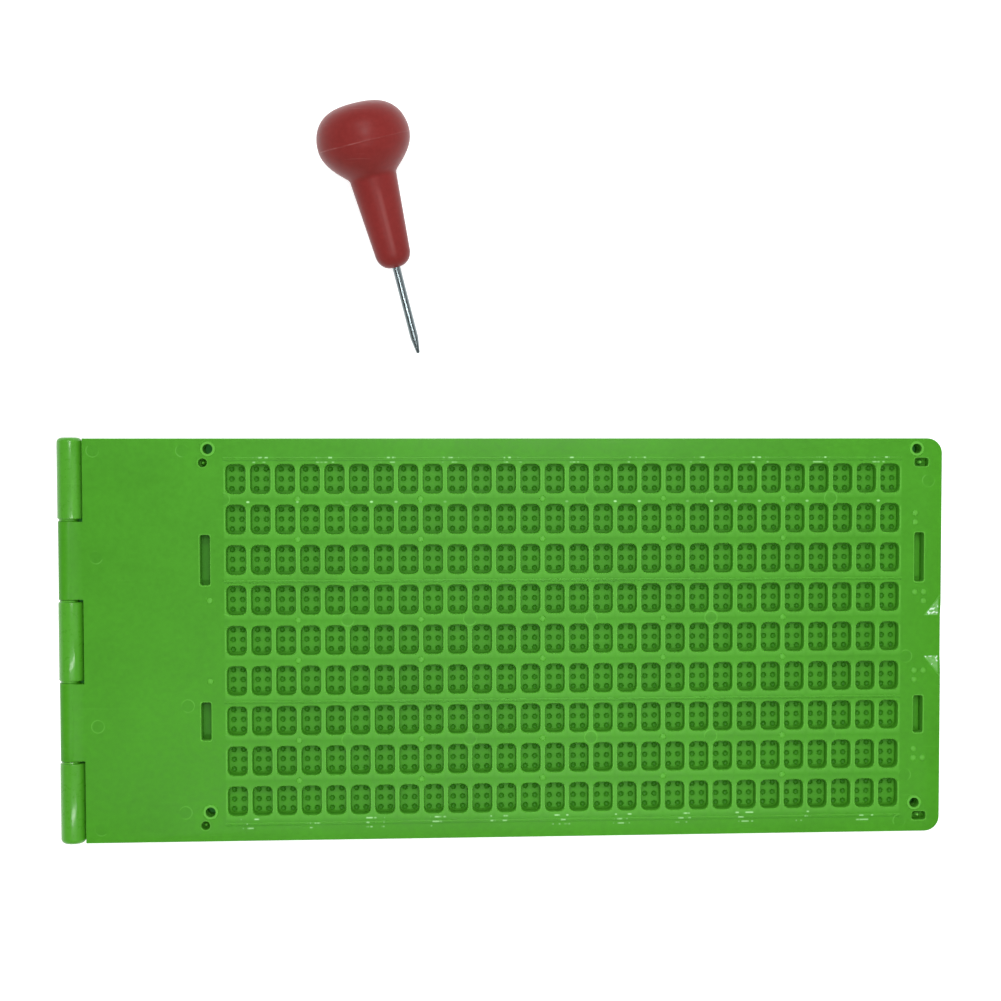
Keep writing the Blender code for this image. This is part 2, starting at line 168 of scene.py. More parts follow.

# Painted light: how much lighter an edge or a wall is drawn than the plastic round it (painted highlight), or
# how much darker where it is below 0 (painted shade)
BAND_LIGHT = 1
RIM_LIGHT = 0.7
BAR_LIGHT = 0.38
UPPER_RIM_LIGHT = 0.15
LOWER_RIM_LIGHT = 0.42
PIT_SHADE = (-0.45, -0.6)
PLATE_EDGE_LIGHT = 0.4
SLOT_WALL_LIGHT = 1
LEFT_RECESS_SHADE = -0.7
LEFT_PIN_LIGHT = 0.3
RIGHT_PIN_LIGHT = 2
RING_LIGHT = 0.9
DOT_LIGHT = 0.8
SEAM_LIGHT = 0.40
SEAM_SHADE = -0.35
THUMB_RIDGE_LIGHT = 0.6

# Stylus
KNOB_DIAMETER = 22.8 * MM
CROWN_HEIGHT = 8.65 * MM
CROWN_POWER = 2.1
CROWN_SQUARENESS = 0.45
SHOULDER_LENGTH = 9.05 * MM
NECK_BLEND = 4.2 * MM
GRIP_START = 8.0 * MM
GRIP_START_DIAMETER = 11.7 * MM
GRIP_END = 31.35 * MM
GRIP_END_DIAMETER = 8.75 * MM
GRIP_END_ROUND = 3.8 * MM
PARTING_PLACE = 0.7 * MM
PARTING_HEIGHT = 0.04 * MM
PARTING_WIDTH = 0.24 * MM
PARTING_SHARES = (-1, -0.4, 0, 0.4, 1)
CROWN_STEPS = 36
SHOULDER_STEPS = 48
GRIP_END_STEPS = 14
HANDLE_SIDES = 128
NEEDLE_DIAMETER = 2.0 * MM
NEEDLE_TIP_DIAMETER = 0.9 * MM
NEEDLE_REACH = 53.3 * MM
NEEDLE_TAPER = 4.0 * MM
NEEDLE_ROOT = 16.6 * MM
NEEDLE_GRIP = 2.0 * MM
NEEDLE_TIP_STEPS = 6
NEEDLE_SIDES = 48
STYLUS_PLACE = (-34.5 * MM, 121.9 * MM)
STYLUS_TURN = math.radians(14.3)
TILT_ROUNDS = 12

# Camera, from the perspective of the window grid in the photograph
IMAGE_SIZE = 1001
FOCAL_LENGTH = 1446
PRINCIPAL_POINT = (517.2, 522)
CAMERA_PLACE = (-16.81 * MM, 41.99 * MM, 364.55 * MM)
CAMERA_FORWARD = (0.05455, -0.03556, -0.99788)
CAMERA_UP = (0.00336, 0.99936, -0.03537)

# Lamps: name, place, the point that it faces, size and watts
LIGHTS = (
    ("north_light", (0.03, 0.20, 0.60), (0.02, 0.03, 0), (0.14, 0.14), 1.15),
    ("far_light", (-0.03, 0.42, 0.56), (0.02, 0, 0), (0.30, 0.14), 0.9),
    ("south_light", (0.01, -0.18, 0.60), (0, 0, 0), (0.45, 0.03), 1.0),
    ("east_light", (0.52, 0.02, 0.60), (0, 0, 0), (0.20, 0.50), 0.2),
)

# World: the even light, and what reflections meet from low down to overhead, as (height, grey)
STUDIO_LIGHT = 0.49
LOW_WHITE = (0.30, 1)
OVERHEAD_GREY = (1.0, 0.16)
REFLECTED_GREYS = ((0.36, 0.20), (0.66, 0.24), (0.88, 0.20))

# Floor, with a painted green shade under the slate
FLOOR_HALF_SIZE = 4
FLOOR_DROP = 0.02 * MM
FLOOR_COLOUR = 0.8
FLOOR_GLOW = 0.68
SHADE_SHIFT = 1 * MM
SHADE_END_MARGIN = 1.4 * MM
SHADE_SIDE_MARGIN = 0.4 * MM

# Colours, linear
GREEN = (0.056, 0.304, 0.008)
# Pale green of scratches and of painted highlights
GREEN_LIGHT = (0.200, 0.660, 0.090)
# Deep green of ejector marks and of painted shade
GREEN_DEEP = (0.012, 0.110, 0.005)
GREEN_GLINT = (0.40, 0.80, 0.32)
WHITE_GLINT = (0.74, 0.95, 0.78)
RED = (0.216, 0.024, 0.022)
# Pale red of scratches, the painted highlight on the parting ridge and the painted streak on the grip
RED_LIGHT = (0.42, 0.16, 0.15)
STEEL = (0.190, 0.230, 0.240)
# Painted shade of the floor under the slate, and its faint glow
GREEN_SHADE = (0.012, 0.075, 0.012)

# Finishes
LID_ROUGHNESS = 0.42
BASE_ROUGHNESS = 0.50
KNUCKLE_ROUGHNESS = 0.30
KNUCKLE_COAT = 0.40
KNUCKLE_COAT_ROUGHNESS = 0.12
# Painted sheen on the knuckles
KNUCKLE_LIGHT = 0.12
GREEN_SPECULAR = 0.22
RED_ROUGHNESS = 0.36
RED_SPECULAR = 0.12
STEEL_ROUGHNESS = 0.22
STEEL_SPECULAR = 0.5
# Strengths of the painted highlight on edges and the painted shade in hollows
EDGE_LIGHTENING = 0.42
HOLLOW_DARKENING = 0.55
PLATE_SCRATCHES = 0.06
HANDLE_SCRATCHES = 0.25
EJECTOR_ARC_LIGHT = 0.25
EJECTOR_MARK_SHADE = 0.07
# Painted shade on the floor round the pits
PIT_FLOOR_SHADE = 0.19
# Painted highlight streak along the grip
GRIP_STREAK_LIGHT = 0.17
GREEN_GRAIN_DEPTH = 0.012 * MM
RED_GRAIN_DEPTH = 0.02 * MM
STEEL_GRAIN_DEPTH = 0.0006 * MM

CUT_OVERRUN = 1 * MM
MERGE_DISTANCE = 0.001 * MM
SHARP_ANGLE = math.radians(35)
PAINTED_LIGHT = "painted_light"

HALF_LENGTH = SLATE_LENGTH / 2
HALF_WIDTH = SLATE_WIDTH / 2
KNUCKLE_RADIUS = KNUCKLE_DIAMETER / 2
HINGE_X = KNUCKLE_RADIUS - HALF_LENGTH
HINGE_Z = KNUCKLE_RADIUS
BASE_KNUCKLE_X = BASE_KNUCKLE_WIDTH / 2 - HALF_LENGTH
PLATE_EDGE_X = BASE_KNUCKLE_WIDTH + KNUCKLE_EDGE_GAP - HALF_LENGTH
HALF_GRID = CELL_PITCH * (CELLS - 1) / 2
FIRST_LINE_Y = LINE_PITCH * (LINES - 1) / 2
THUMB_INNER_X = HALF_LENGTH - THUMB_REACH
KNOB_RADIUS = KNOB_DIAMETER / 2 - PARTING_HEIGHT


def new_shape():
    """An empty bmesh whose points say how much painted light they carry: above 0 a painted highlight on an
    edge, below 0 a painted shade.
    """
    shape = bmesh.new()
    shape.verts.layers.float.new(PAINTED_LIGHT)
    return shape


def add_object(name, shape):
    mesh = bpy.data.meshes.new(name)
    shape.to_mesh(mesh)
    shape.free()
    made = bpy.data.objects.new(name, mesh)
    bpy.context.scene.collection.objects.link(made)
    return made


def finish_piece(piece, finish, body, node):
    """Smooths the piece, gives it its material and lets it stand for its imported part."""
    piece.data.shade_smooth()
    piece.data.set_sharp_from_angle(angle=SHARP_ANGLE)
    piece.data.materials.clear()
    piece.data.materials.append(finish)
    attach(piece, body)
    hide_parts(node)


def boolean(target, tool, operation):
    """Joins the tool to the target or cuts it away, and removes the tool."""
    modifier = target.modifiers.new(tool.name, "BOOLEAN")
    modifier.operation = operation
    modifier.object = tool
    cut = target.evaluated_get(bpy.context.evaluated_depsgraph_get())
    mesh = bpy.data.meshes.new_from_object(cut)
    target.modifiers.clear()
    target.data = mesh
    bpy.data.objects.remove(tool)


def bevel(shape, geometry, offset, segments, affect="EDGES"):
    return bmesh.ops.bevel(
        shape,
        geom=geometry,
        offset=offset,
        segments=segments,
        profile=0.5,
        affect=affect,
        material=-1,
        clamp_overlap=True,
    )


def made_verts(result):
    return [item for item in result["geom"] if isinstance(item, bmesh.types.BMVert)]


def edges_among(verts):
    """The edges that join these points to one another."""
    chosen = set(verts)
    edges = dict.fromkeys(edge for vert in verts for edge in vert.link_edges)
    return [edge for edge in edges if set(edge.verts) <= chosen]


def ring_points(edges):
    return list(dict.fromkeys(vert for edge in edges for vert in edge.verts))


def add_rounded_loop(shape, x, y, z, size, corner, segments):
    """A flat ring of edges in the shape of a rounded rectangle."""
    place = Matrix.LocRotScale(Vector((x, y, z)), None, Vector((*size, 1)))
    square = bmesh.ops.create_grid(shape, x_segments=1, y_segments=1, size=0.5, matrix=place)
    face = square["verts"][0].link_faces[0]
    rounded = bevel(shape, list(face.verts), corner, segments, affect="VERTICES")
    rim = [vert for vert in shape.verts if vert.is_valid and vert in rounded["verts"]]
    bmesh.ops.delete(shape, geom=rim[0].link_faces[:], context="FACES_ONLY")
    return edges_among(rim)


def add_round_loop(shape, x, y, z, diameter, sides):
    circle = bmesh.ops.create_circle(
        shape, cap_ends=False, segments=sides, radius=diameter / 2, matrix=Matrix.Translation((x, y, z))
    )
    return edges_among(circle["verts"])


# Gives points their painted light: a painted highlight above 0, a painted shade below 0
def mark(shape, verts, light):
    layer = shape.verts.layers.float[PAINTED_LIGHT]
    for vert in verts:
        vert[layer] = light


def carry_on(shape, edges, scale, drop, light=0):
    """Extrudes a ring of edges, drawn in about its own centre and lowered, and gives the new ring."""
    verts = made_verts(bmesh.ops.extrude_edge_only(shape, edges=edges))
    centre = sum((vert.co for vert in verts), Vector()) / len(verts)
    bmesh.ops.scale(shape, vec=(*scale, 1), space=Matrix.Translation(-centre), verts=verts)
    bmesh.ops.translate(shape, vec=(0, 0, -drop), verts=verts)
    mark(shape, verts, light)
    return edges_among(verts)


def close_in(shape, edges, drop, light=0):
    """Carries a ring of edges to a point."""
    points = ring_points(carry_on(shape, edges, (0, 0), drop, light))
    bmesh.ops.pointmerge(shape, verts=points, merge_co=points[0].co)


def ratio(new, old):
    return [after / before for after, before in zip(new, old)]


def widened(size, width):
    return [length + 2 * width for length in size]


def sink(shape, edges, size, rim, band, depth, draft=0):
    """From a ring round an opening, over the band and the rim's chamfer, drawn lighter as a painted highlight,
    and down the wall.
    """
    edges = carry_on(shape, edges, ratio(widened(size, rim), widened(size, rim + band)), 0, BAND_LIGHT)
    edges = carry_on(shape, edges, ratio(size, widened(size, rim)), rim, RIM_LIGHT)
    return carry_on(shape, edges, ratio(widened(size, -draft), size), depth - rim)


def fill(shape, edges):
    """Flat faces between an outer ring of edges and the rings inside it."""
    bmesh.ops.triangle_fill(shape, edges=edges, use_beauty=True, use_dissolve=False)


def repeat_over_grid(shape):
    """Copies one cell, modelled at the lower left place, to every cell of the page."""
    for count, step in ((CELLS, Vector((CELL_PITCH, 0, 0))), (LINES, Vector((0, LINE_PITCH, 0)))):
        first = shape.verts[:] + shape.edges[:] + shape.faces[:]
        for index in range(1, count):
            copy = bmesh.ops.duplicate(shape, geom=first)
            bmesh.ops.translate(shape, vec=step * index, verts=made_verts(copy))
    bmesh.ops.remove_doubles(shape, verts=shape.verts, dist=MERGE_DISTANCE)


def cell_border(shape, z, rows=1):
    """The outline of the lower left cell, with its upright sides in so many pieces."""
    place = Matrix.LocRotScale(
        Vector((GRID_X - HALF_GRID, -FIRST_LINE_Y, z)), None, Vector((CELL_PITCH, LINE_PITCH, 1))
    )
    grid = bmesh.ops.create_grid(shape, x_segments=1, y_segments=rows, size=0.5, matrix=place)
    edges = edges_among(grid["verts"])
    outline = [edge for edge in edges if edge.is_boundary]
    rungs = [edge for edge in edges if not edge.is_boundary]
    faces = dict.fromkeys(face for edge in edges for face in edge.link_faces)
    bmesh.ops.delete(shape, geom=list(faces), context="FACES_ONLY")
    bmesh.ops.delete(shape, geom=rungs, context="EDGES")
    return outline


def window_cells():
    """The part of the lid that holds the windows, open at its border."""
    shape = new_shape()
    around = WINDOW_RIM + WINDOW_BAND
    size, corner = widened(WINDOW_SIZE, around), WINDOW_CORNER + around
    top = add_rounded_loop(
        shape, GRID_X - HALF_GRID, -FIRST_LINE_Y, LID_TOP, size, corner, WINDOW_CORNER_SEGMENTS
    )
    # The ring round the window is drawn lighter, a painted highlight on the bars
    mark(shape, ring_points(top), BAR_LIGHT)
    bottom = sink(shape, top, WINDOW_SIZE, WINDOW_RIM, WINDOW_BAND, LID_TOP - LID_BOTTOM, WINDOW_DRAFT)
    # The window rims are drawn lighter, a painted highlight, more on the lower rim, which faces the lamps
    for side, light in ((1, UPPER_RIM_LIGHT), (-1, LOWER_RIM_LIGHT)):
        far = [vert for vert in shape.verts if side * (vert.co.y + FIRST_LINE_Y) > WINDOW_SIZE[1] * 0.4]
        mark(shape, [vert for vert in far if vert.co.z > LID_TOP - MERGE_DISTANCE], light)
    border = cell_border(shape, LID_TOP, BORDER_ROWS)
    # The middles of the bars are drawn lighter too, a painted highlight
    beside = [vert for vert in ring_points(border) if abs(vert.co.y + FIRST_LINE_Y) < LINE_PITCH * 0.4]
    mark(shape, beside, BAR_LIGHT)
    fill(shape, border + top)
    fill(shape, cell_border(shape, LID_BOTTOM) + bottom)
    repeat_over_grid(shape)
    mark(shape, [vert for vert in shape.verts if vert.is_boundary], 0)
    return shape


def pit_cells():
    """The part of the base that holds the pits, open at its border."""
    shape = new_shape()
    rims = cell_border(shape, BASE_TOP)
    for across in (-PIT_ACROSS / 2, PIT_ACROSS / 2):
        for down in (-PIT_DOWN, 0, PIT_DOWN):
            x = GRID_X - HALF_GRID + across
            ring = add_round_loop(shape, x, down - FIRST_LINE_Y, BASE_TOP, PIT_DIAMETER, PIT_SIDES)
            rims += ring
            share, level = 1, 0
            # The pits' rings and floors are drawn darker, a painted shade
            for (next_share, depth), shade in zip(PIT_STEPS, PIT_SHADE):
                ring = carry_on(shape, ring, [next_share / share] * 2, depth - level, shade)
                share, level = next_share, depth
            close_in(shape, ring, PIT_DEPTH - level, PIT_SHADE[-1])
    fill(shape, rims)
    repeat_over_grid(shape)
    return shape


def knuckle_span(index):
    pitch = SLATE_WIDTH / KNUCKLES
    high = HALF_WIDTH - index * pitch
    low = high - pitch
    high += KNUCKLE_OVERHANG if index == 0 else -KNUCKLE_END_GAP / 2
    low += -KNUCKLE_OVERHANG if index == KNUCKLES - 1 else KNUCKLE_END_GAP / 2
    return low, high


def plate_outline(own_knuckles):
    """The plate from above, anticlockwise from its lower right corner, with a neck to each own knuckle."""
    neck_x = HINGE_X + NECK_START
    points = [(HALF_LENGTH, -HALF_WIDTH), (HALF_LENGTH, HALF_WIDTH), (PLATE_EDGE_X, HALF_WIDTH)]
    for index in own_knuckles:
        low, high = knuckle_span(index)
        high = min(high, HALF_WIDTH - KNUCKLE_END_ROUND) - NECK_SETBACK
        low = max(low, KNUCKLE_END_ROUND - HALF_WIDTH) + NECK_SETBACK
        points += [(PLATE_EDGE_X, high), (neck_x, high), (neck_x, low), (PLATE_EDGE_X, low)]
    points.append((PLATE_EDGE_X, -HALF_WIDTH))
    return points


def add_bar(shape, low, high, size, sides, x=HINGE_X):
    """A round or oval bar along the hinge, and the edges round its two ends."""
    middle = (low + high) / 2
    lie_down = Matrix.Rotation(math.pi / 2, 4, "X") @ Matrix.Diagonal((*size, 1, 1))
    bar = bmesh.ops.create_cone(
        shape,
        cap_ends=True,
        segments=sides,
        radius1=0.5,
        radius2=0.5,
        depth=high - low,
        matrix=Matrix.Translation((x, middle, HINGE_Z)) @ lie_down,
    )
    low_end = edges_among([vert for vert in bar["verts"] if vert.co.y < middle])
    high_end = edges_among([vert for vert in bar["verts"] if vert.co.y > middle])
    return low_end, high_end


def add_knuckles(own_knuckles, size, x):
    shape = new_shape()
    for index in own_knuckles:
        low_end, high_end = add_bar(shape, *knuckle_span(index), size, KNUCKLE_SIDES, x)
        for edges, is_outer in ((low_end, index == KNUCKLES - 1), (high_end, index == 0)):
            if is_outer:
                bevel(shape, edges, KNUCKLE_END_ROUND, KNUCKLE_ROUND_STEPS)
            else:
                bevel(shape, edges, KNUCKLE_END_RIM, KNUCKLE_RIM_STEPS)
    return add_object("knuckles", shape)


def add_bosses():
    """Low round steps on the base's knuckles that close the gaps to the lid's knuckles round the pin."""
    shape = new_shape()
    reach = KNUCKLE_END_GAP - BOSS_GAP
    for index in range(0, KNUCKLES, 2):
        low, high = knuckle_span(index)
        high += reach if index > 0 else -KNUCKLE_END_ROUND
        low -= reach if index < KNUCKLES - 1 else -KNUCKLE_END_ROUND
        add_bar(shape, low, high, (BOSS_DIAMETER, BOSS_DIAMETER), KNUCKLE_SIDES)
    return add_object("bosses", shape)


def add_bore(low, high):
    shape = new_shape()
    add_bar(shape, low, high, (BORE_DIAMETER, BORE_DIAMETER), BORE_SIDES)
    return add_object("bore", shape)


def add_plate_body(name, own_knuckles, low, high, bore_span):
    """The plate's outside with its knuckles, still without holes."""
    is_base = 0 in own_knuckles
    shape = new_shape()
    face = shape.faces.new([shape.verts.new((x, y, low)) for x, y in plate_outline(own_knuckles)])
    raised = bmesh.ops.extrude_face_region(shape, geom=[face])
    bmesh.ops.translate(shape, vec=(0, 0, high - low), verts=made_verts(raised))
    bmesh.ops.recalc_face_normals(shape, faces=shape.faces)
    corners = [
        edge
        for edge in shape.edges
        if all(vert.co.x > HALF_LENGTH - MERGE_DISTANCE for vert in edge.verts)
        and abs(edge.verts[0].co.y - edge.verts[1].co.y) < MERGE_DISTANCE
    ]
    bevel(shape, corners, CORNER_RADIUS, CORNER_SEGMENTS)
    rims = [
        edge
        for edge in shape.edges
        if abs(edge.verts[0].co.z - edge.verts[1].co.z) < MERGE_DISTANCE
        and any(vert.co.x > PLATE_EDGE_X + MERGE_DISTANCE for vert in edge.verts)
    ]
    bevel(shape, rims, PLATE_RIM, PLATE_RIM_STEPS)
    # The upper rim is drawn lighter: a painted highlight, and some wear
    worn = [vert for vert in shape.verts if high - PLATE_RIM < vert.co.z < high - MERGE_DISTANCE]
    mark(shape, worn, PLATE_EDGE_LIGHT)
    plate = add_object(name, shape)
    if is_base:
        knuckles = add_knuckles(own_knuckles, (BASE_KNUCKLE_WIDTH, KNUCKLE_DIAMETER), BASE_KNUCKLE_X)
        boolean(plate, knuckles, "UNION")
        boolean(plate, add_bosses(), "UNION")
    else:
        boolean(plate, add_knuckles(own_knuckles, [LID_KNUCKLE_DIAMETER] * 2, HINGE_X), "UNION")
    boolean(plate, add_bore(*bore_span), "DIFFERENCE")
    return plate


def lies_at(element, level):
    return all(abs(vert.co.z - level) < MERGE_DISTANCE for vert in element.verts)


def open_level(shape, level):
    """Takes away the flat faces at a height."""
    bmesh.ops.delete(shape, geom=[face for face in shape.faces if lies_at(face, level)], context="FACES_ONLY")
    bmesh.ops.delete(shape, geom=[edge for edge in shape.edges if edge.is_wire], context="EDGES")


def fill_level(shape, level):
    """Closes the plate at a height, between its outline and every opening in it."""
    fill(shape, [edge for edge in shape.edges if len(edge.link_faces) < 2 and lies_at(edge, level)])


def corner_places(from_cell, above_line):
    """Four places beside the grid, the lower two one page step below."""
    reach = HALF_GRID + from_cell
    top = FIRST_LINE_Y + above_line
    return [(GRID_X + side * reach, y) for side in (-1, 1) for y in (top, top - LINES * LINE_PITCH)]


def line_y(line):
    return FIRST_LINE_Y - (line - 1) * LINE_PITCH


def slot_places():
    """The middles and sizes of the four sighting slots beside the grid."""
    reach = HALF_GRID + SLOT_FROM_CELL
    rows = ((SLOT_LINE, UPPER_SLOT_LENGTH), (LINES + 1 - SLOT_LINE, LOWER_SLOT_LENGTH))
    return [
        (GRID_X + side * reach, line_y(line), (SLOT_WIDTH, length))
        for side in (-1, 1)
        for line, length in rows
    ]


def add_thumb_cutter():
    """A ramp that falls to the opening edge between two slanted cheeks."""
    shape = new_shape()
    past_edge = 1 + CUT_OVERRUN / THUMB_REACH
    outer_x = THUMB_INNER_X + THUMB_REACH * past_edge
    for side in (-1, 1):
        inner_y = side * THUMB_INNER_WIDTH / 2
        outer_y = inner_y + side * (THUMB_OUTER_WIDTH - THUMB_INNER_WIDTH) / 2 * past_edge
        for x, y in ((THUMB_INNER_X, inner_y), (outer_x, outer_y)):
            shape.verts.new((x, y, LID_TOP))
            shape.verts.new((x, y, LID_TOP + CUT_OVERRUN))
        shape.verts.new((outer_x, inner_y, LID_TOP - THUMB_DEPTH * past_edge))
    bmesh.ops.convex_hull(shape, input=shape.verts)
    bmesh.ops.recalc_face_normals(shape, faces=shape.faces)
    return add_object("thumb_cutter", shape)


def dot_places():
    number_x = GRID_X + HALF_GRID + NUMBER_FROM_CELL
    places = []
    for line, dots in NUMBER_DOTS.items():
        for across, down in dots:
            places.append((number_x + across * DOT_PITCH, line_y(line) + DOT_PITCH * (0.5 - down)))
    for line in LEFT_MARK_LINES:
        places.append((GRID_X - HALF_GRID - NUMBER_FROM_CELL, line_y(line)))
    for line in range(1, LINES):
        if line % BLOCK_LINES == 0:
            continue
        for count in range(COUNT_EVERY, CELLS, COUNT_EVERY):
            x = GRID_X + HALF_GRID - (count - 0.5) * CELL_PITCH
            places.append((x, line_y(line) - LINE_PITCH / 2))
    return places


def add_dot(shape, x, y):
    """A low dome whose lower half is sunk in the lid."""
    flatness = Matrix.Diagonal((1, 1, 2 * DOT_HEIGHT / DOT_DIAMETER, 1))
    dome = bmesh.ops.create_uvsphere(
        shape,
        u_segments=DOT_SIDES,
        v_segments=DOT_SIDES // 2,
        radius=DOT_DIAMETER / 2,
        matrix=Matrix.Translation((x, y, LID_TOP)) @ flatness,
    )
    # Each dome is drawn lighter towards its top, a painted highlight
    for vert in dome["verts"]:
        mark(shape, [vert], DOT_LIGHT * (vert.co.z - LID_TOP) / DOT_HEIGHT)


def add_ridge(shape, start, end, height, light):
    """A fine raised line on the lid's face."""
    run = Vector(end) - Vector(start)
    middle = (Vector(start) + Vector(end)) / 2
    place = Matrix.LocRotScale(
        middle.to_3d() + Vector((0, 0, LID_TOP)),
        Matrix.Rotation(run.angle_signed(Vector((1, 0))), 3, "Z").to_quaternion(),
        Vector((run.length, RIDGE_WIDTH, 2 * height)),
    )
    line = bmesh.ops.create_cube(shape, size=1, matrix=place)
    # The line is drawn lighter or, below 0, darker by its light: a painted highlight or a painted shade
    mark(shape, line["verts"], light)
    long_edges = [edge for edge in edges_among(line["verts"]) if edge.calc_length() > run.length * 0.9]
    bevel(shape, long_edges, height * 0.7, 2)


def add_ridges(shape):
    """Lines where the mould's inserts meet, and along the slants of the thumb recess."""
    reach = HALF_GRID + CELL_PITCH / 2
    # Each seam gets a raised line drawn lighter, a painted highlight, and a lower line below it drawn darker, a
    # painted shade
    for line, light_place, dark_place in SEAM_PLACES:
        for place, height, light in (
            (light_place, RIDGE_HEIGHT, SEAM_LIGHT),
            (dark_place, SEAM_DIP_HEIGHT, SEAM_SHADE),
        ):
            y = line_y(line) - LINE_PITCH / 2 + place
            add_ridge(shape, (GRID_X - reach, y), (GRID_X + reach, y), height, light)
    # The lines along the thumb recess's slants are drawn lighter, a painted highlight
    for side in (-1, 1):
        inner = (THUMB_INNER_X, side * THUMB_INNER_WIDTH / 2)
        outer = (HALF_LENGTH - PLATE_RIM, side * THUMB_OUTER_WIDTH / 2)
        add_ridge(shape, inner, outer, RIDGE_HEIGHT, THUMB_RIDGE_LIGHT)


def round_hole(shape, x, y, top, bottom, diameter, rim):
    ring = add_round_loop(shape, x, y, top, diameter + 4 * rim, HOLE_SIDES)
    sink(shape, ring, (diameter, diameter), rim, rim, top - bottom)


def slot_hole(shape, x, y, size, corner, rim, light=0):
    around = widened(size, 2 * rim)
    ring = add_rounded_loop(shape, x, y, LID_TOP, around, corner + 2 * rim, SLOT_CORNER_SEGMENTS)
    ring = sink(shape, ring, size, rim, rim, LID_TOP - LID_BOTTOM - SLOT_FOOT)
    # The foot of the slot's wall is drawn lighter by its light, a painted highlight
    mark(shape, ring_points(ring), light)
    carry_on(shape, ring, (1, 1), SLOT_FOOT)


def ringed_hole(shape, x, y):
    """A hole through the lid in the middle of a low raised ring."""
    crest = RING_DIAMETER - 2 * RING_HEIGHT
    ring = add_round_loop(shape, x, y, LID_TOP, RING_DIAMETER, HOLE_SIDES)
    # The raised ring is drawn lighter, a painted highlight
    ring = carry_on(shape, ring, [crest / RING_DIAMETER] * 2, -RING_HEIGHT, RING_LIGHT)
    ring = carry_on(shape, ring, [RING_HOLE_DIAMETER / crest] * 2, 0, RING_LIGHT)
    carry_on(shape, ring, (1, 1), LID_TOP + RING_HEIGHT - LID_BOTTOM)


def replace_mesh(plate, shape):
    bmesh.ops.remove_doubles(shape, verts=shape.verts, dist=MERGE_DISTANCE)
    bmesh.ops.recalc_face_normals(shape, faces=shape.faces)
    shape.to_mesh(plate.data)
    shape.free()


def with_cells(plate, cells):
    """A bmesh of the plate and the repeated cells together."""
    part = bpy.data.meshes.new("cells")
    cells.to_mesh(part)
    cells.free()
    shape = new_shape()
    shape.from_mesh(plate.data)
    shape.from_mesh(part)
    bpy.data.meshes.remove(part)
    return shape


def opened(plate, levels):
    """A bmesh of the plate without its flat faces at the given heights."""
    shape = new_shape()
    shape.from_mesh(plate.data)
    for level in levels:
        open_level(shape, level)
    return shape


def close_plate(plate, shape, cells, levels):
    """Sets the repeated cells in the opened plate and closes its faces round every opening."""
    shape.to_mesh(plate.data)
    shape.free()
    shape = with_cells(plate, cells)
    for level in levels:
        fill_level(shape, level)
    replace_mesh(plate, shape)


def add_window_plate():
    reach = HALF_WIDTH + CUT_OVERRUN
    plate = add_plate_body("fine_window_plate", range(1, KNUCKLES, 2), LID_BOTTOM, LID_TOP, (-reach, reach))
    boolean(plate, add_thumb_cutter(), "DIFFERENCE")
    shape = opened(plate, (LID_TOP, LID_BOTTOM))
    for x, y in corner_places(RING_FROM_CELL, RING_ABOVE_LINE):
        ringed_hole(shape, x, y)
    for x, y in corner_places(PAPER_PIN_FROM_CELL, PAPER_PIN_ABOVE_LINE):
        if x < GRID_X:
            round_hole(shape, x, y, LID_TOP, LID_BOTTOM, PIN_HOLE_DIAMETER, PIN_HOLE_RIM)
        else:
            slot_hole(shape, x, y, (PIN_SLOT_LENGTH, PIN_HOLE_DIAMETER), PIN_SLOT_CORNER, PIN_HOLE_RIM)
    for x, y, size in slot_places():
        slot_hole(shape, x, y, size, SLOT_CORNER, WINDOW_RIM, SLOT_WALL_LIGHT)
    close_plate(plate, shape, window_cells(), (LID_TOP, LID_BOTTOM))
    relief = new_shape()
    for x, y in dot_places():
        add_dot(relief, x, y)
    add_ridges(relief)
    replace_mesh(plate, with_cells(plate, relief))
    return plate


def add_paper_pin(shape, x, y, light):
    """A tapering pin with a rounded tip, joined to the base all round its foot."""
    tip = PAPER_PIN_DIAMETER / 2 * PAPER_PIN_TIP_SHARE
    lean = math.sin(math.pi / 4)
    ring = add_round_loop(shape, x, y, BASE_TOP, PAPER_PIN_DIAMETER, HOLE_SIDES)
    ring = carry_on(shape, ring, [PAPER_PIN_TIP_SHARE] * 2, tip - PAPER_PIN_HEIGHT, light)
    ring = carry_on(shape, ring, [lean] * 2, -tip * lean, light)
    close_in(shape, ring, -tip * (1 - lean), light)


def add_base_plate():
    bore_span = (BORE_END_WALL - HALF_WIDTH, HALF_WIDTH + KNUCKLE_OVERHANG + CUT_OVERRUN)
    plate = add_plate_body("fine_base_plate", range(0, KNUCKLES, 2), 0, BASE_TOP, bore_span)
    shape = opened(plate, (BASE_TOP, 0))
    for x, y in corner_places(RING_FROM_CELL, RING_ABOVE_LINE):
        round_hole(shape, x, y, BASE_TOP, 0, RING_HOLE_DIAMETER, PIN_HOLE_RIM)
    for x, y in corner_places(PAPER_PIN_FROM_CELL, PAPER_PIN_ABOVE_LINE):
        # The pins' tips are drawn lighter, a painted highlight, most on the right
        add_paper_pin(shape, x, y, LEFT_PIN_LIGHT if x < GRID_X else RIGHT_PIN_LIGHT)
    for x, y, size in slot_places():
        ring = add_rounded_loop(shape, x, y, BASE_TOP, size, SLOT_CORNER, SLOT_CORNER_SEGMENTS)
        # The left recesses are drawn darker, a painted shade
        shade = LEFT_RECESS_SHADE if x < GRID_X else 0
        fill(shape, carry_on(shape, ring, (1, 1), SLOT_RECESS_DEPTH, shade))
    close_plate(plate, shape, pit_cells(), (BASE_TOP, 0))
    return plate


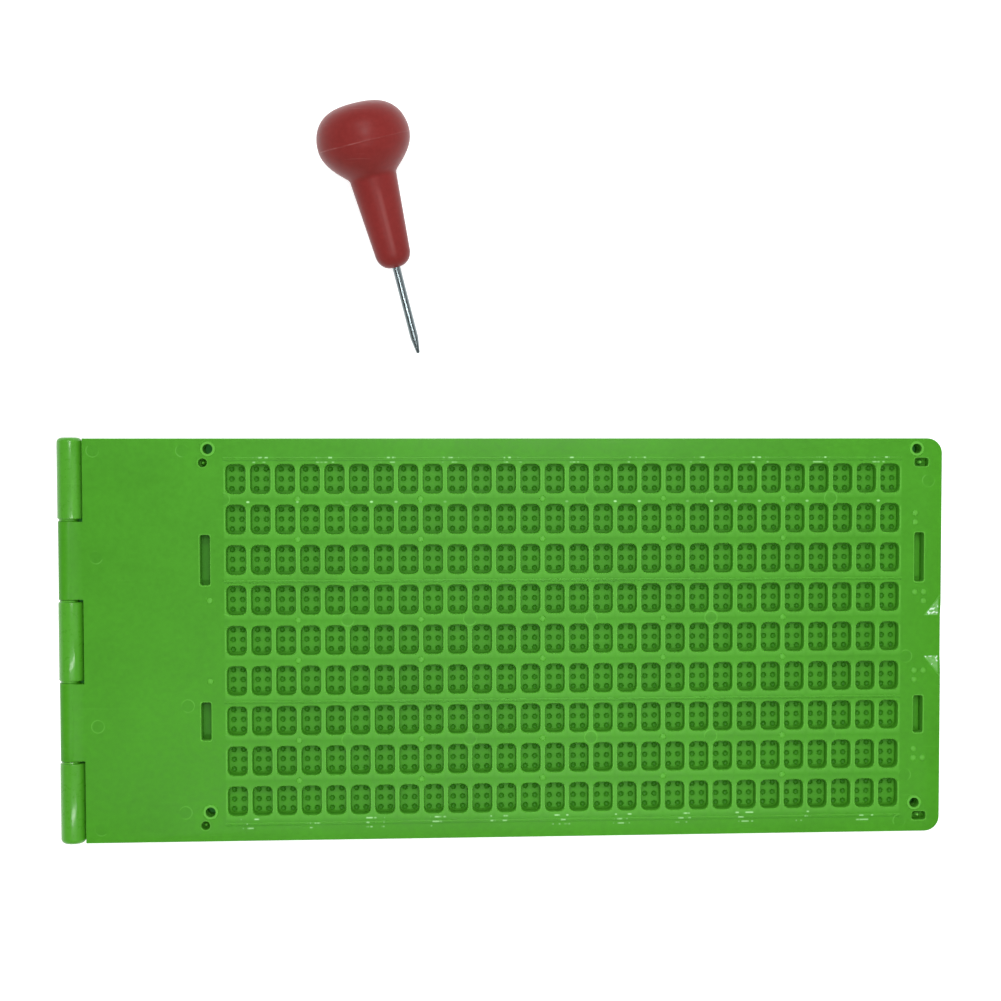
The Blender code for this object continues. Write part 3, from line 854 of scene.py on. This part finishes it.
def turned(name, profile, sides):
    """A solid turned about Z, from (radius, height) points whose first and last lie on the axis."""
    shape = bmesh.new()
    points = [shape.verts.new((radius, 0, height)) for radius, height in profile]
    edges = [shape.edges.new(pair) for pair in zip(points, points[1:])]
    bmesh.ops.spin(
        shape,
        geom=points + edges,
        cent=(0, 0, 0),
        axis=(0, 0, 1),
        angle=math.tau,
        steps=sides,
        use_merge=True,
    )
    bmesh.ops.remove_doubles(shape, verts=shape.verts, dist=MERGE_DISTANCE)
    bmesh.ops.recalc_face_normals(shape, faces=shape.faces)
    piece = add_object(name, shape)
    piece.data.transform(stylus_matrix())
    return piece


def knob_radius(height):
    """The knob's radius at a height: squarer towards its crown than towards its neck."""
    share = min(1, -height / CROWN_HEIGHT if height < 0 else height / SHOULDER_LENGTH)
    power = CROWN_POWER + CROWN_SQUARENESS * share if height < 0 else 2
    return KNOB_RADIUS * (1 - share ** power) ** (1 / power)


def grip_radius(height):
    taper = (GRIP_START_DIAMETER - GRIP_END_DIAMETER) / 2 / (GRIP_END - GRIP_END_ROUND - GRIP_START)
    return GRIP_START_DIAMETER / 2 - taper * (height - GRIP_START)


def neck_radius(height):
    """The larger of the knob and the grip, with a hollow round where they meet."""
    knob, grip = knob_radius(height), grip_radius(height)
    near = max(0, NECK_BLEND - abs(knob - grip)) / NECK_BLEND
    return max(knob, grip) + near * near * NECK_BLEND / 4


def handle_profile():
    points = []
    for step in range(CROWN_STEPS + 1):
        height = -CROWN_HEIGHT * math.cos(math.pi / 2 * step / CROWN_STEPS)
        points.append((knob_radius(height), height))
    for share in PARTING_SHARES:
        height = PARTING_PLACE + share * PARTING_WIDTH / 2
        points.append((neck_radius(height) + PARTING_HEIGHT * (1 - abs(share)), height))
    grip_round = GRIP_END - GRIP_END_ROUND
    for step in range(1, SHOULDER_STEPS + 1):
        share = step / (SHOULDER_STEPS + 1)
        height = PARTING_PLACE + PARTING_WIDTH / 2 + (grip_round - PARTING_PLACE) * share
        points.append((neck_radius(height), height))
    end_radius = grip_radius(grip_round)
    mouth = NEEDLE_DIAMETER / 2
    for step in range(GRIP_END_STEPS + 1):
        angle = math.pi / 2 * step / GRIP_END_STEPS
        radius = mouth + (end_radius - mouth) * math.cos(angle)
        points.append((radius, GRIP_END - GRIP_END_ROUND * (1 - math.sin(angle))))
    points.append((mouth, GRIP_END - NEEDLE_GRIP))
    points.append((0, GRIP_END - NEEDLE_GRIP))
    return points


def needle_profile():
    radius = NEEDLE_DIAMETER / 2
    tip_radius = NEEDLE_TIP_DIAMETER / 2
    profile = [(0, NEEDLE_ROOT), (radius, NEEDLE_ROOT), (radius, NEEDLE_REACH - NEEDLE_TAPER)]
    for step in range(NEEDLE_TIP_STEPS + 1):
        angle = math.pi / 2 * step / NEEDLE_TIP_STEPS
        profile.append((tip_radius * math.cos(angle), NEEDLE_REACH - tip_radius * (1 - math.sin(angle))))
    return profile


def stylus_matrix():
    """Lays the stylus down on its knob and its needle's tip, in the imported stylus's place."""
    tilt = 0
    for _ in range(TILT_ROUNDS):
        height = math.hypot(math.cos(tilt) * KNOB_RADIUS, math.sin(tilt) * SHOULDER_LENGTH)
        tilt = math.asin((height - NEEDLE_TIP_DIAMETER / 2) / (NEEDLE_REACH - NEEDLE_TIP_DIAMETER / 2))
    turn = Matrix.Rotation(STYLUS_TURN, 4, "Z") @ Matrix.Rotation(math.pi / 2 + tilt, 4, "X")
    return Matrix.Translation((*STYLUS_PLACE, height)) @ turn


def add_node(tree, kind, inputs=None, **settings):
    """A shader node, with each input given a value or the socket that feeds it."""
    node = tree.nodes.new("ShaderNode" + kind)
    for name, value in settings.items():
        setattr(node, name, value)
    for name, value in (inputs or {}).items():
        if isinstance(value, bpy.types.NodeSocket):
            tree.links.new(value, node.inputs[name])
        else:
            node.inputs[name].default_value = value
    return node


def calculate(tree, operation, *values, clamp=False):
    node = add_node(tree, "Math", dict(enumerate(values)), operation=operation)
    node.use_clamp = clamp
    return node.outputs[0]


def vector(tree, operation, *values):
    node = add_node(tree, "VectorMath", dict(enumerate(values)), operation=operation)
    return node.outputs["Value" if operation in ("LENGTH", "DISTANCE") else "Vector"]


def fade(tree, value, start, end):
    """Rises or falls smoothly from 0 at the start to 1 at the end."""
    inputs = {"Value": value, "From Min": start, "From Max": end}
    return add_node(tree, "MapRange", inputs, interpolation_type="SMOOTHSTEP").outputs["Result"]


def mixed(tree, share, first, second):
    """Goes from the first colour to the second. The Mix node's colour sockets are known by number."""
    return add_node(tree, "Mix", {0: share, 6: first, 7: second}, data_type="RGBA").outputs[2]


def separate(tree, place):
    return add_node(tree, "SeparateXYZ", {0: place}).outputs


def combine(tree, x, y, z=0):
    return add_node(tree, "CombineXYZ", {"X": x, "Y": y, "Z": z}).outputs[0]


def beyond(tree, value, middle):
    """How far a value lies from a middle value, on either side."""
    return calculate(tree, "ABSOLUTE", calculate(tree, "SUBTRACT", value, middle))


def noise(tree, place, scale, detail=3):
    inputs = {"Vector": place, "Scale": scale, "Detail": detail, "Roughness": 0.55}
    return add_node(tree, "TexNoise", inputs).outputs["Fac"]


def patches(tree, place, scale, start, end, detail=1):
    """Where a noise passes from one level to another, as a mask."""
    return fade(tree, noise(tree, place, scale, detail=detail), start, end)


def product(tree, first, *others):
    """Masks and values multiplied together."""
    for other in others:
        first = calculate(tree, "MULTIPLY", first, other)
    return first


def new_group(name, inputs, outputs):
    """A shader node group with named sockets, and its input and output nodes."""
    group = bpy.data.node_groups.new(name, "ShaderNodeTree")
    for socket, kind in inputs.items():
        group.interface.new_socket(socket, in_out="INPUT", socket_type=kind)
    for socket, kind in outputs.items():
        group.interface.new_socket(socket, in_out="OUTPUT", socket_type=kind)
    return group, group.nodes.new("NodeGroupInput").outputs, group.nodes.new("NodeGroupOutput").inputs


def place_group(tree, group, inputs):
    """Puts a node group in a material, and gives its outputs."""
    return add_node(tree, "Group", inputs, node_tree=group).outputs


def moulded_skin_group():
    """The fine grain, slow waviness and uneven gloss of moulded plastic."""
    group, given, result = new_group(
        "moulded_skin",
        {"Place": "NodeSocketVector", "Colour": "NodeSocketColor", "Roughness": "NodeSocketFloat"},
        {"Colour": "NodeSocketColor", "Roughness": "NodeSocketFloat", "Height": "NodeSocketFloat"},
    )
    cloud = noise(group, given["Place"], 55)
    speck = noise(group, given["Place"], 900, detail=2)
    grain = noise(group, given["Place"], 2600, detail=2)
    level = calculate(group, "MULTIPLY_ADD", cloud, 0.26, calculate(group, "MULTIPLY_ADD", speck, 0.26, 0.74))
    shade = vector(group, "MULTIPLY", given["Colour"], combine(group, level, level, level))
    group.links.new(shade, result["Colour"])
    gloss = calculate(group, "MULTIPLY_ADD", speck, 0.20, given["Roughness"])
    group.links.new(calculate(group, "SUBTRACT", gloss, 0.10), result["Roughness"])
    rough = calculate(group, "MULTIPLY_ADD", grain, 0.35, calculate(group, "MULTIPLY", speck, 0.65))
    group.links.new(rough, result["Height"])
    return group


def scuffs_group():
    """Short fine scratches in two directions, as a mask."""
    group, given, result = new_group(
        "scuffs",
        {"Place": "NodeSocketVector", "Amount": "NodeSocketFloat"},
        {"Mask": "NodeSocketFloat"},
    )
    masks = []
    for turn, seed in ((0.5, 0.3), (-0.9, 1.7)):
        inputs = {
            "Vector": given["Place"],
            "Location": (seed, seed, 0),
            "Rotation": (0, 0, turn),
            "Scale": (60, 1500, 60),
        }
        turned_place = add_node(group, "Mapping", inputs).outputs[0]
        line = patches(group, turned_place, 1, 0.66, 0.74)
        masks.append(product(group, line, patches(group, given["Place"], 40 + 20 * seed, 0.52, 0.70)))
    both = calculate(group, "MAXIMUM", *masks)
    group.links.new(product(group, both, given["Amount"]), result["Mask"])
    return group


def new_material(name, colour, roughness, specular):
    made = bpy.data.materials.new(name)
    made.use_nodes = True
    shader = made.node_tree.nodes["Principled BSDF"]
    shader.inputs["Base Color"].default_value = (*colour, 1)
    shader.inputs["Roughness"].default_value = roughness
    shader.inputs["Specular IOR Level"].default_value = specular
    place = made.node_tree.nodes.new("ShaderNodeTexCoord").outputs["Object"]
    return made, made.node_tree, shader.inputs, place


def dress(tree, sockets, colour, roughness, height, depth):
    """Feeds a material its colour, its roughness and the height of its grain."""
    grain = add_node(tree, "Bump", {"Height": height, "Distance": depth, "Strength": 1})
    tree.links.new(colour, sockets["Base Color"])
    tree.links.new(roughness, sockets["Roughness"])
    tree.links.new(grain.outputs[0], sockets["Normal"])


def ejector_marks(tree, place):
    """Where the ejector pins touched the lid: masks of the marks and of the worn arcs round them."""
    flat = vector(tree, "MULTIPLY", place, (1, 1, 0))
    step = (EJECTOR_MARK_FROM_CELL * CELL_PITCH, BLOCK_LINES * LINE_PITCH)
    first = (GRID_X - HALF_GRID + (EJECTOR_MARK_FROM_CELL - 0.5) * CELL_PITCH, line_y(1.5))
    offset = vector(tree, "SUBTRACT", flat, (*first, 0))
    half = (step[0] / 2, step[1] / 2, 1)
    distance = vector(tree, "LENGTH", vector(tree, "WRAP", offset, half, (-half[0], -half[1], -1)))
    past_grid = calculate(
        tree, "GREATER_THAN", beyond(tree, separate(tree, place)["X"], GRID_X), HALF_GRID + CELL_PITCH / 2
    )
    distance = calculate(tree, "ADD", distance, past_grid)
    for x, y in PLATE_EJECTOR_MARKS:
        centre = (GRID_X + x * MM, y * MM, 0)
        distance = calculate(tree, "MINIMUM", distance, vector(tree, "DISTANCE", flat, centre))
    radius = EJECTOR_MARK_DIAMETER / 2
    inside = fade(tree, distance, radius, radius - 0.15 * MM)
    ring = fade(tree, beyond(tree, distance, radius), 0.22 * MM, 0.05 * MM)
    return inside, product(tree, ring, patches(tree, place, 260, 0.42, 0.60))


def seam_glints(tree, place):
    """Groups of painted glints, bright dashes along the first and last seam, as a mask."""
    parts = separate(tree, place)
    whole = 0
    for line, place_on_seam, strength, first_group in GLINT_ROWS:
        from_first = calculate(tree, "SUBTRACT", parts["X"], GRID_X - HALF_GRID + first_group)
        off_group = calculate(tree, "PINGPONG", from_first, GLINT_GROUP_PITCH / 2)
        group = fade(tree, off_group, GLINT_GROUP_LENGTH / 2, GLINT_GROUP_LENGTH / 2 - 0.5 * MM)
        y = line_y(line) + place_on_seam
        row = fade(tree, beyond(tree, parts["Y"], y), 0.26 * MM, 0.10 * MM)
        dash = patches(tree, combine(tree, parts["X"], y * 40), 700, 0.48, 0.62)
        whole = calculate(tree, "MAXIMUM", whole, product(tree, row, strength, dash, group))
    in_grid = calculate(tree, "LESS_THAN", beyond(tree, parts["X"], GRID_X), HALF_GRID + CELL_PITCH / 2)
    return product(tree, whole, in_grid)


def bar_glints(tree, place):
    """Painted glints: bright spots at the upper ends of some bars of the second line, as a mask."""
    parts = separate(tree, place)
    step = calculate(tree, "DIVIDE", calculate(tree, "SUBTRACT", parts["X"], GRID_X), CELL_PITCH)
    bar = calculate(tree, "FLOOR", calculate(tree, "ADD", step, 0.5))
    away_x = product(tree, calculate(tree, "SUBTRACT", step, bar), CELL_PITCH * 0.65)
    away_y = calculate(tree, "SUBTRACT", parts["Y"], line_y(1.5) - 0.7 * MM)
    away = vector(tree, "LENGTH", combine(tree, away_x, away_y))
    chance = add_node(tree, "TexWhiteNoise", {"W": bar}, noise_dimensions="1D").outputs["Value"]
    in_grid = calculate(tree, "LESS_THAN", beyond(tree, parts["X"], GRID_X), HALF_GRID)
    return product(tree, fade(tree, away, 0.36 * MM, 0.12 * MM), fade(tree, chance, 0.35, 0.95), in_grid)


def cheek_glint_mask(tree, place):
    """The cheeks of the thumb recess, which are a little glossier and get painted glints and a painted sheen.
    """
    parts = separate(tree, place)
    beside = calculate(tree, "ABSOLUTE", parts["Y"])
    return product(
        tree,
        fade(tree, beside, THUMB_INNER_WIDTH / 2, THUMB_INNER_WIDTH / 2 + 0.1 * MM),
        fade(tree, parts["Z"], LID_TOP - 0.01 * MM, LID_TOP - 0.02 * MM),
        fade(tree, parts["X"], THUMB_INNER_X, THUMB_INNER_X + 0.1 * MM),
        calculate(tree, "LESS_THAN", beside, THUMB_OUTER_WIDTH / 2),
        fade(tree, parts["X"], HALF_LENGTH - 0.5 * MM, HALF_LENGTH - 0.8 * MM),
    )


def round_pits(tree, place):
    """The painted shade on the floor round the pits, as a mask."""
    parts = separate(tree, place)
    from_border = calculate(tree, "PINGPONG", calculate(tree, "SUBTRACT", parts["X"], GRID_X), CELL_PITCH / 2)
    across = beyond(tree, from_border, (CELL_PITCH - PIT_ACROSS) / 2)
    in_line = calculate(tree, "WRAP", parts["Y"], LINE_PITCH / 2, -LINE_PITCH / 2)
    down = calculate(tree, "PINGPONG", in_line, PIT_DOWN / 2)
    near = fade(tree, vector(tree, "LENGTH", combine(tree, across, down)), 1.35 * MM, 0.5 * MM)
    beside = calculate(tree, "LESS_THAN", beyond(tree, parts["X"], GRID_X), HALF_GRID + CELL_PITCH / 2)
    within = calculate(tree, "LESS_THAN", calculate(tree, "ABSOLUTE", parts["Y"]), LINE_PITCH * LINES / 2)
    return product(tree, near, beside, within)


def green_skin(name, skin, scuffs, roughness):
    """What both plates' materials share: their moulded skin, scratches, the painted highlight on edges and the
    painted shade in hollows.
    """
    made, tree, sockets, place = new_material(name, GREEN, roughness, GREEN_SPECULAR)
    face = place_group(tree, skin, {"Place": place, "Colour": (*GREEN, 1), "Roughness": roughness})
    edge = add_node(tree, "Attribute", attribute_name=PAINTED_LIGHT).outputs["Fac"]
    light = calculate(tree, "MULTIPLY", edge, EDGE_LIGHTENING, clamp=True)
    hollow = calculate(tree, "MULTIPLY", edge, -HOLLOW_DARKENING, clamp=True)
    scratches = place_group(tree, scuffs, {"Place": place, "Amount": PLATE_SCRATCHES})["Mask"]
    return made, tree, sockets, place, face, calculate(tree, "ADD", light, scratches, clamp=True), hollow


def shaded_green(tree, face, light, hollow):
    lighter = mixed(tree, light, face["Colour"], (*GREEN_LIGHT, 1))
    return mixed(tree, hollow, lighter, (*GREEN_DEEP, 1))


def lid_material(skin, scuffs):
    made, tree, sockets, place, face, light, hollow = green_skin(
        "green_window_plastic", skin, scuffs, LID_ROUGHNESS
    )
    inside, arc = ejector_marks(tree, place)
    light = calculate(tree, "MULTIPLY_ADD", arc, EJECTOR_ARC_LIGHT, light)
    hollow = calculate(tree, "MULTIPLY_ADD", inside, EJECTOR_MARK_SHADE, hollow)
    colour = shaded_green(tree, face, light, hollow)
    parts = separate(tree, place)
    upper = calculate(tree, "GREATER_THAN", parts["Z"], LID_TOP - GLINT_DEPTH)
    # Painted glints along the seams and at the bars' ends, which also make the plastic a little glossier there
    glints = product(
        tree, calculate(tree, "MAXIMUM", seam_glints(tree, place), bar_glints(tree, place)), upper
    )
    # The cheeks get a painted sheen and painted white glint spots
    cheeks = product(tree, cheek_glint_mask(tree, place), upper)
    sheen = calculate(tree, "MULTIPLY_ADD", noise(tree, place, 1500, detail=1), 0.42, 0.06)
    glints = calculate(tree, "MAXIMUM", glints, product(tree, cheeks, sheen))
    colour = mixed(tree, glints, colour, (*GREEN_GLINT, 1))
    beside = calculate(tree, "ABSOLUTE", parts["Y"])
    inner = fade(tree, beside, CHEEK_GLINTS_END, CHEEK_GLINTS_END - CHEEK_GLINTS_FADE)
    spots = product(tree, patches(tree, place, 1300, 0.57, 0.70, detail=0), 0.85, cheeks, inner)
    colour = mixed(tree, spots, colour, (*WHITE_GLINT, 1))
    roughness = calculate(tree, "MULTIPLY_ADD", glints, -0.15, face["Roughness"])
    height = calculate(tree, "MULTIPLY_ADD", arc, 2.0, face["Height"])
    dress(tree, sockets, colour, roughness, height, GREEN_GRAIN_DEPTH)
    return made


def base_material(skin, scuffs):
    made, tree, sockets, place, face, light, hollow = green_skin(
        "green_base_plastic", skin, scuffs, BASE_ROUGHNESS
    )
    on_knuckle = fade(tree, separate(tree, place)["X"], PLATE_EDGE_X, PLATE_EDGE_X - KNUCKLE_EDGE_GAP)
    # The knuckles are drawn lighter, a painted sheen, beside their real gloss below
    light = calculate(tree, "MULTIPLY_ADD", on_knuckle, KNUCKLE_LIGHT, light)
    # The floor round the pits is drawn darker, a painted shade
    hollow = calculate(tree, "MULTIPLY_ADD", round_pits(tree, place), PIT_FLOOR_SHADE, hollow)
    colour = shaded_green(tree, face, light, hollow)
    polish = product(tree, on_knuckle, KNUCKLE_ROUGHNESS - BASE_ROUGHNESS)
    roughness = calculate(tree, "ADD", polish, face["Roughness"])
    dress(tree, sockets, colour, roughness, face["Height"], GREEN_GRAIN_DEPTH)
    tree.links.new(product(tree, on_knuckle, KNUCKLE_COAT), sockets["Coat Weight"])
    sockets["Coat Roughness"].default_value = KNUCKLE_COAT_ROUGHNESS
    return made


def stylus_place(tree, place):
    """Object coordinates turned so that Z runs along the stylus."""
    turn = stylus_matrix().inverted()
    return add_node(
        tree, "Mapping", {"Vector": place, "Location": turn.translation, "Rotation": turn.to_euler()}
    ).outputs[0]


def painted_grip_streak(tree, parts):
    """A painted highlight streak along the top of the grip, as a mask."""
    return product(
        tree,
        fade(tree, beyond(tree, parts["X"], 0.4 * MM), 0.85 * MM, 0.1 * MM),
        calculate(tree, "GREATER_THAN", parts["Y"], 0),
        fade(tree, parts["Z"], 10 * MM, 15 * MM),
        fade(tree, parts["Z"], 30 * MM, 25 * MM),
        GRIP_STREAK_LIGHT,
    )


def red_material(skin, scuffs):
    made, tree, sockets, place = new_material("red_handle_plastic", RED, RED_ROUGHNESS, RED_SPECULAR)
    face = place_group(tree, skin, {"Place": place, "Colour": (*RED, 1), "Roughness": RED_ROUGHNESS})
    parts = separate(tree, stylus_place(tree, place))
    # The parting ridge is drawn lighter in patches, a painted highlight
    line = fade(tree, beyond(tree, parts["Z"], PARTING_PLACE), PARTING_WIDTH * 0.8, PARTING_WIDTH * 0.2)
    patchy = patches(tree, place, 300, 0.42, 0.66, detail=3)
    line = product(tree, line, calculate(tree, "MULTIPLY_ADD", patchy, 0.40, 0.06))
    scratches = place_group(tree, scuffs, {"Place": place, "Amount": HANDLE_SCRATCHES})["Mask"]
    light = calculate(tree, "MAXIMUM", line, scratches)
    light = calculate(tree, "MAXIMUM", light, painted_grip_streak(tree, parts), clamp=True)
    colour = mixed(tree, light, face["Colour"], (*RED_LIGHT, 1))
    dress(tree, sockets, colour, face["Roughness"], face["Height"], RED_GRAIN_DEPTH)
    return made


def steel_material(name, along):
    """Drawn wire, with fine lines that run along it. The place given has Z along the wire."""
    made, tree, sockets, place = new_material(name, STEEL, STEEL_ROUGHNESS, STEEL_SPECULAR)
    sockets["Metallic"].default_value = 1
    lines = add_node(tree, "Mapping", {"Vector": along(tree, place), "Scale": (6000, 6000, 90)}).outputs[0]
    drawn = noise(tree, lines, 1, detail=2)
    stain = noise(tree, place, 260)
    tone = calculate(tree, "MULTIPLY_ADD", drawn, 0.07, calculate(tree, "MULTIPLY_ADD", stain, 0.20, 0.84))
    colour = vector(tree, "MULTIPLY", STEEL, combine(tree, tone, tone, tone))
    roughness = calculate(tree, "MULTIPLY_ADD", stain, 0.14, 0.14)
    dress(tree, sockets, colour, roughness, drawn, STEEL_GRAIN_DEPTH)
    return made


def hinge_place(tree, place):
    return add_node(tree, "Mapping", {"Vector": place, "Rotation": (math.pi / 2, 0, 0)}).outputs[0]


def seen_directly(tree):
    """1 for the camera and for reflections, which see the white background."""
    path = tree.nodes.new("ShaderNodeLightPath").outputs
    seen = calculate(tree, "MAXIMUM", path["Is Camera Ray"], path["Is Glossy Ray"])
    return calculate(tree, "MAXIMUM", seen, path["Is Transmission Ray"])


def grey(level):
    return (level, level, level, 1)


def add_floor():
    """A pale floor that the camera and reflections see as white, but with a painted green shade under the
    slate, which glows faintly there.
    """
    shape = bmesh.new()
    place = Matrix.Translation((0, 0, -FLOOR_DROP))
    bmesh.ops.create_grid(shape, x_segments=1, y_segments=1, size=FLOOR_HALF_SIZE, matrix=place)
    floor = add_object("floor", shape)
    made = bpy.data.materials.new("floor_white")
    made.use_nodes = True
    tree = made.node_tree
    shader = tree.nodes["Principled BSDF"]
    shader.inputs["Roughness"].default_value = 1
    shader.inputs["Specular IOR Level"].default_value = 0
    parts = separate(tree, tree.nodes.new("ShaderNodeTexCoord").outputs["Object"])
    from_middle = beyond(tree, parts["X"], SHADE_SHIFT)
    past_ends = calculate(tree, "GREATER_THAN", from_middle, HALF_LENGTH - SHADE_END_MARGIN)
    from_axis = calculate(tree, "ABSOLUTE", parts["Y"])
    past_sides = calculate(tree, "GREATER_THAN", from_axis, HALF_WIDTH - SHADE_SIDE_MARGIN)
    outside = calculate(tree, "MAXIMUM", past_ends, past_sides)
    colour = mixed(tree, outside, (*GREEN_SHADE, 1), grey(FLOOR_COLOUR))
    tree.links.new(colour, shader.inputs["Base Color"])
    # Under the slate the floor glows in the painted green shade, seen through the holes
    seen = mixed(tree, outside, (*GREEN_SHADE, 1), grey(FLOOR_GLOW))
    glow = add_node(tree, "Emission", {"Color": seen}).outputs[0]
    bright = add_node(tree, "AddShader", {0: shader.outputs[0], 1: glow}).outputs[0]
    surface = add_node(tree, "MixShader", {0: seen_directly(tree), 1: shader.outputs[0], 2: bright})
    tree.links.new(surface.outputs[0], tree.nodes["Material Output"].inputs["Surface"])
    floor.data.materials.append(made)


def add_light(name, place, target, size, watts):
    lamp = bpy.data.lights.new(name, "AREA")
    lamp.shape = "RECTANGLE"
    lamp.size, lamp.size_y = size
    lamp.energy = watts
    made = bpy.data.objects.new(name, lamp)
    made.location = place
    made.rotation_euler = (Vector(target) - Vector(place)).to_track_quat("-Z", "Y").to_euler()
    bpy.context.scene.collection.objects.link(made)


def add_world():
    """An even studio light, whose reflections and background are white low down and dark overhead."""
    world = bpy.data.worlds.new("studio")
    bpy.context.scene.world = world
    world.use_nodes = True
    tree = world.node_tree
    rise = separate(tree, tree.nodes.new("ShaderNodeTexCoord").outputs["Generated"])["Z"]
    ramp = add_node(tree, "ValToRGB", {"Fac": rise})
    for element, (position, level) in zip(ramp.color_ramp.elements, (LOW_WHITE, OVERHEAD_GREY)):
        element.position = position
        element.color = grey(level)
    for position, level in REFLECTED_GREYS:
        ramp.color_ramp.elements.new(position).color = grey(level)
    colour = mixed(tree, seen_directly(tree), grey(STUDIO_LIGHT), ramp.outputs["Color"])
    tree.links.new(colour, tree.nodes["Background"].inputs["Color"])
    tree.nodes["Background"].inputs["Strength"].default_value = 1


def add_camera():
    lens = bpy.data.cameras.new("photo_camera")
    lens.sensor_width = 36
    lens.lens = FOCAL_LENGTH / IMAGE_SIZE * lens.sensor_width
    lens.shift_x = -(PRINCIPAL_POINT[0] - IMAGE_SIZE / 2) / IMAGE_SIZE
    lens.shift_y = (PRINCIPAL_POINT[1] - IMAGE_SIZE / 2) / IMAGE_SIZE
    lens.clip_start = 0.01
    camera = bpy.data.objects.new("photo_camera", lens)
    back = -Vector(CAMERA_FORWARD).normalized()
    right = Vector(CAMERA_UP).cross(back).normalized()
    turn = Matrix((right, back.cross(right), back)).transposed().to_4x4()
    camera.matrix_world = Matrix.Translation(CAMERA_PLACE) @ turn
    bpy.context.scene.collection.objects.link(camera)
    bpy.context.scene.camera = camera


def main():
    bpy.context.scene.view_settings.view_transform = "Standard"
    add_camera()
    add_world()
    add_floor()
    for light in LIGHTS:
        add_light(*light)
    skin, scuffs = moulded_skin_group(), scuffs_group()
    finish_piece(add_window_plate(), lid_material(skin, scuffs), "lid", "window_plate")
    finish_piece(add_base_plate(), base_material(skin, scuffs), "base", "base_plate")
    handle = turned("fine_handle", handle_profile(), HANDLE_SIDES)
    finish_piece(handle, red_material(skin, scuffs), "stylus", "stylus_handle")
    needle = turned("fine_needle", needle_profile(), NEEDLE_SIDES)
    wire = steel_material("needle_steel", stylus_place)
    finish_piece(needle, wire, "stylus", "stylus_needle")
    hinge_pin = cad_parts["hinge_pin"].data.materials
    hinge_pin.clear()
    hinge_pin.append(steel_material("hinge_pin_steel", hinge_place))


main()
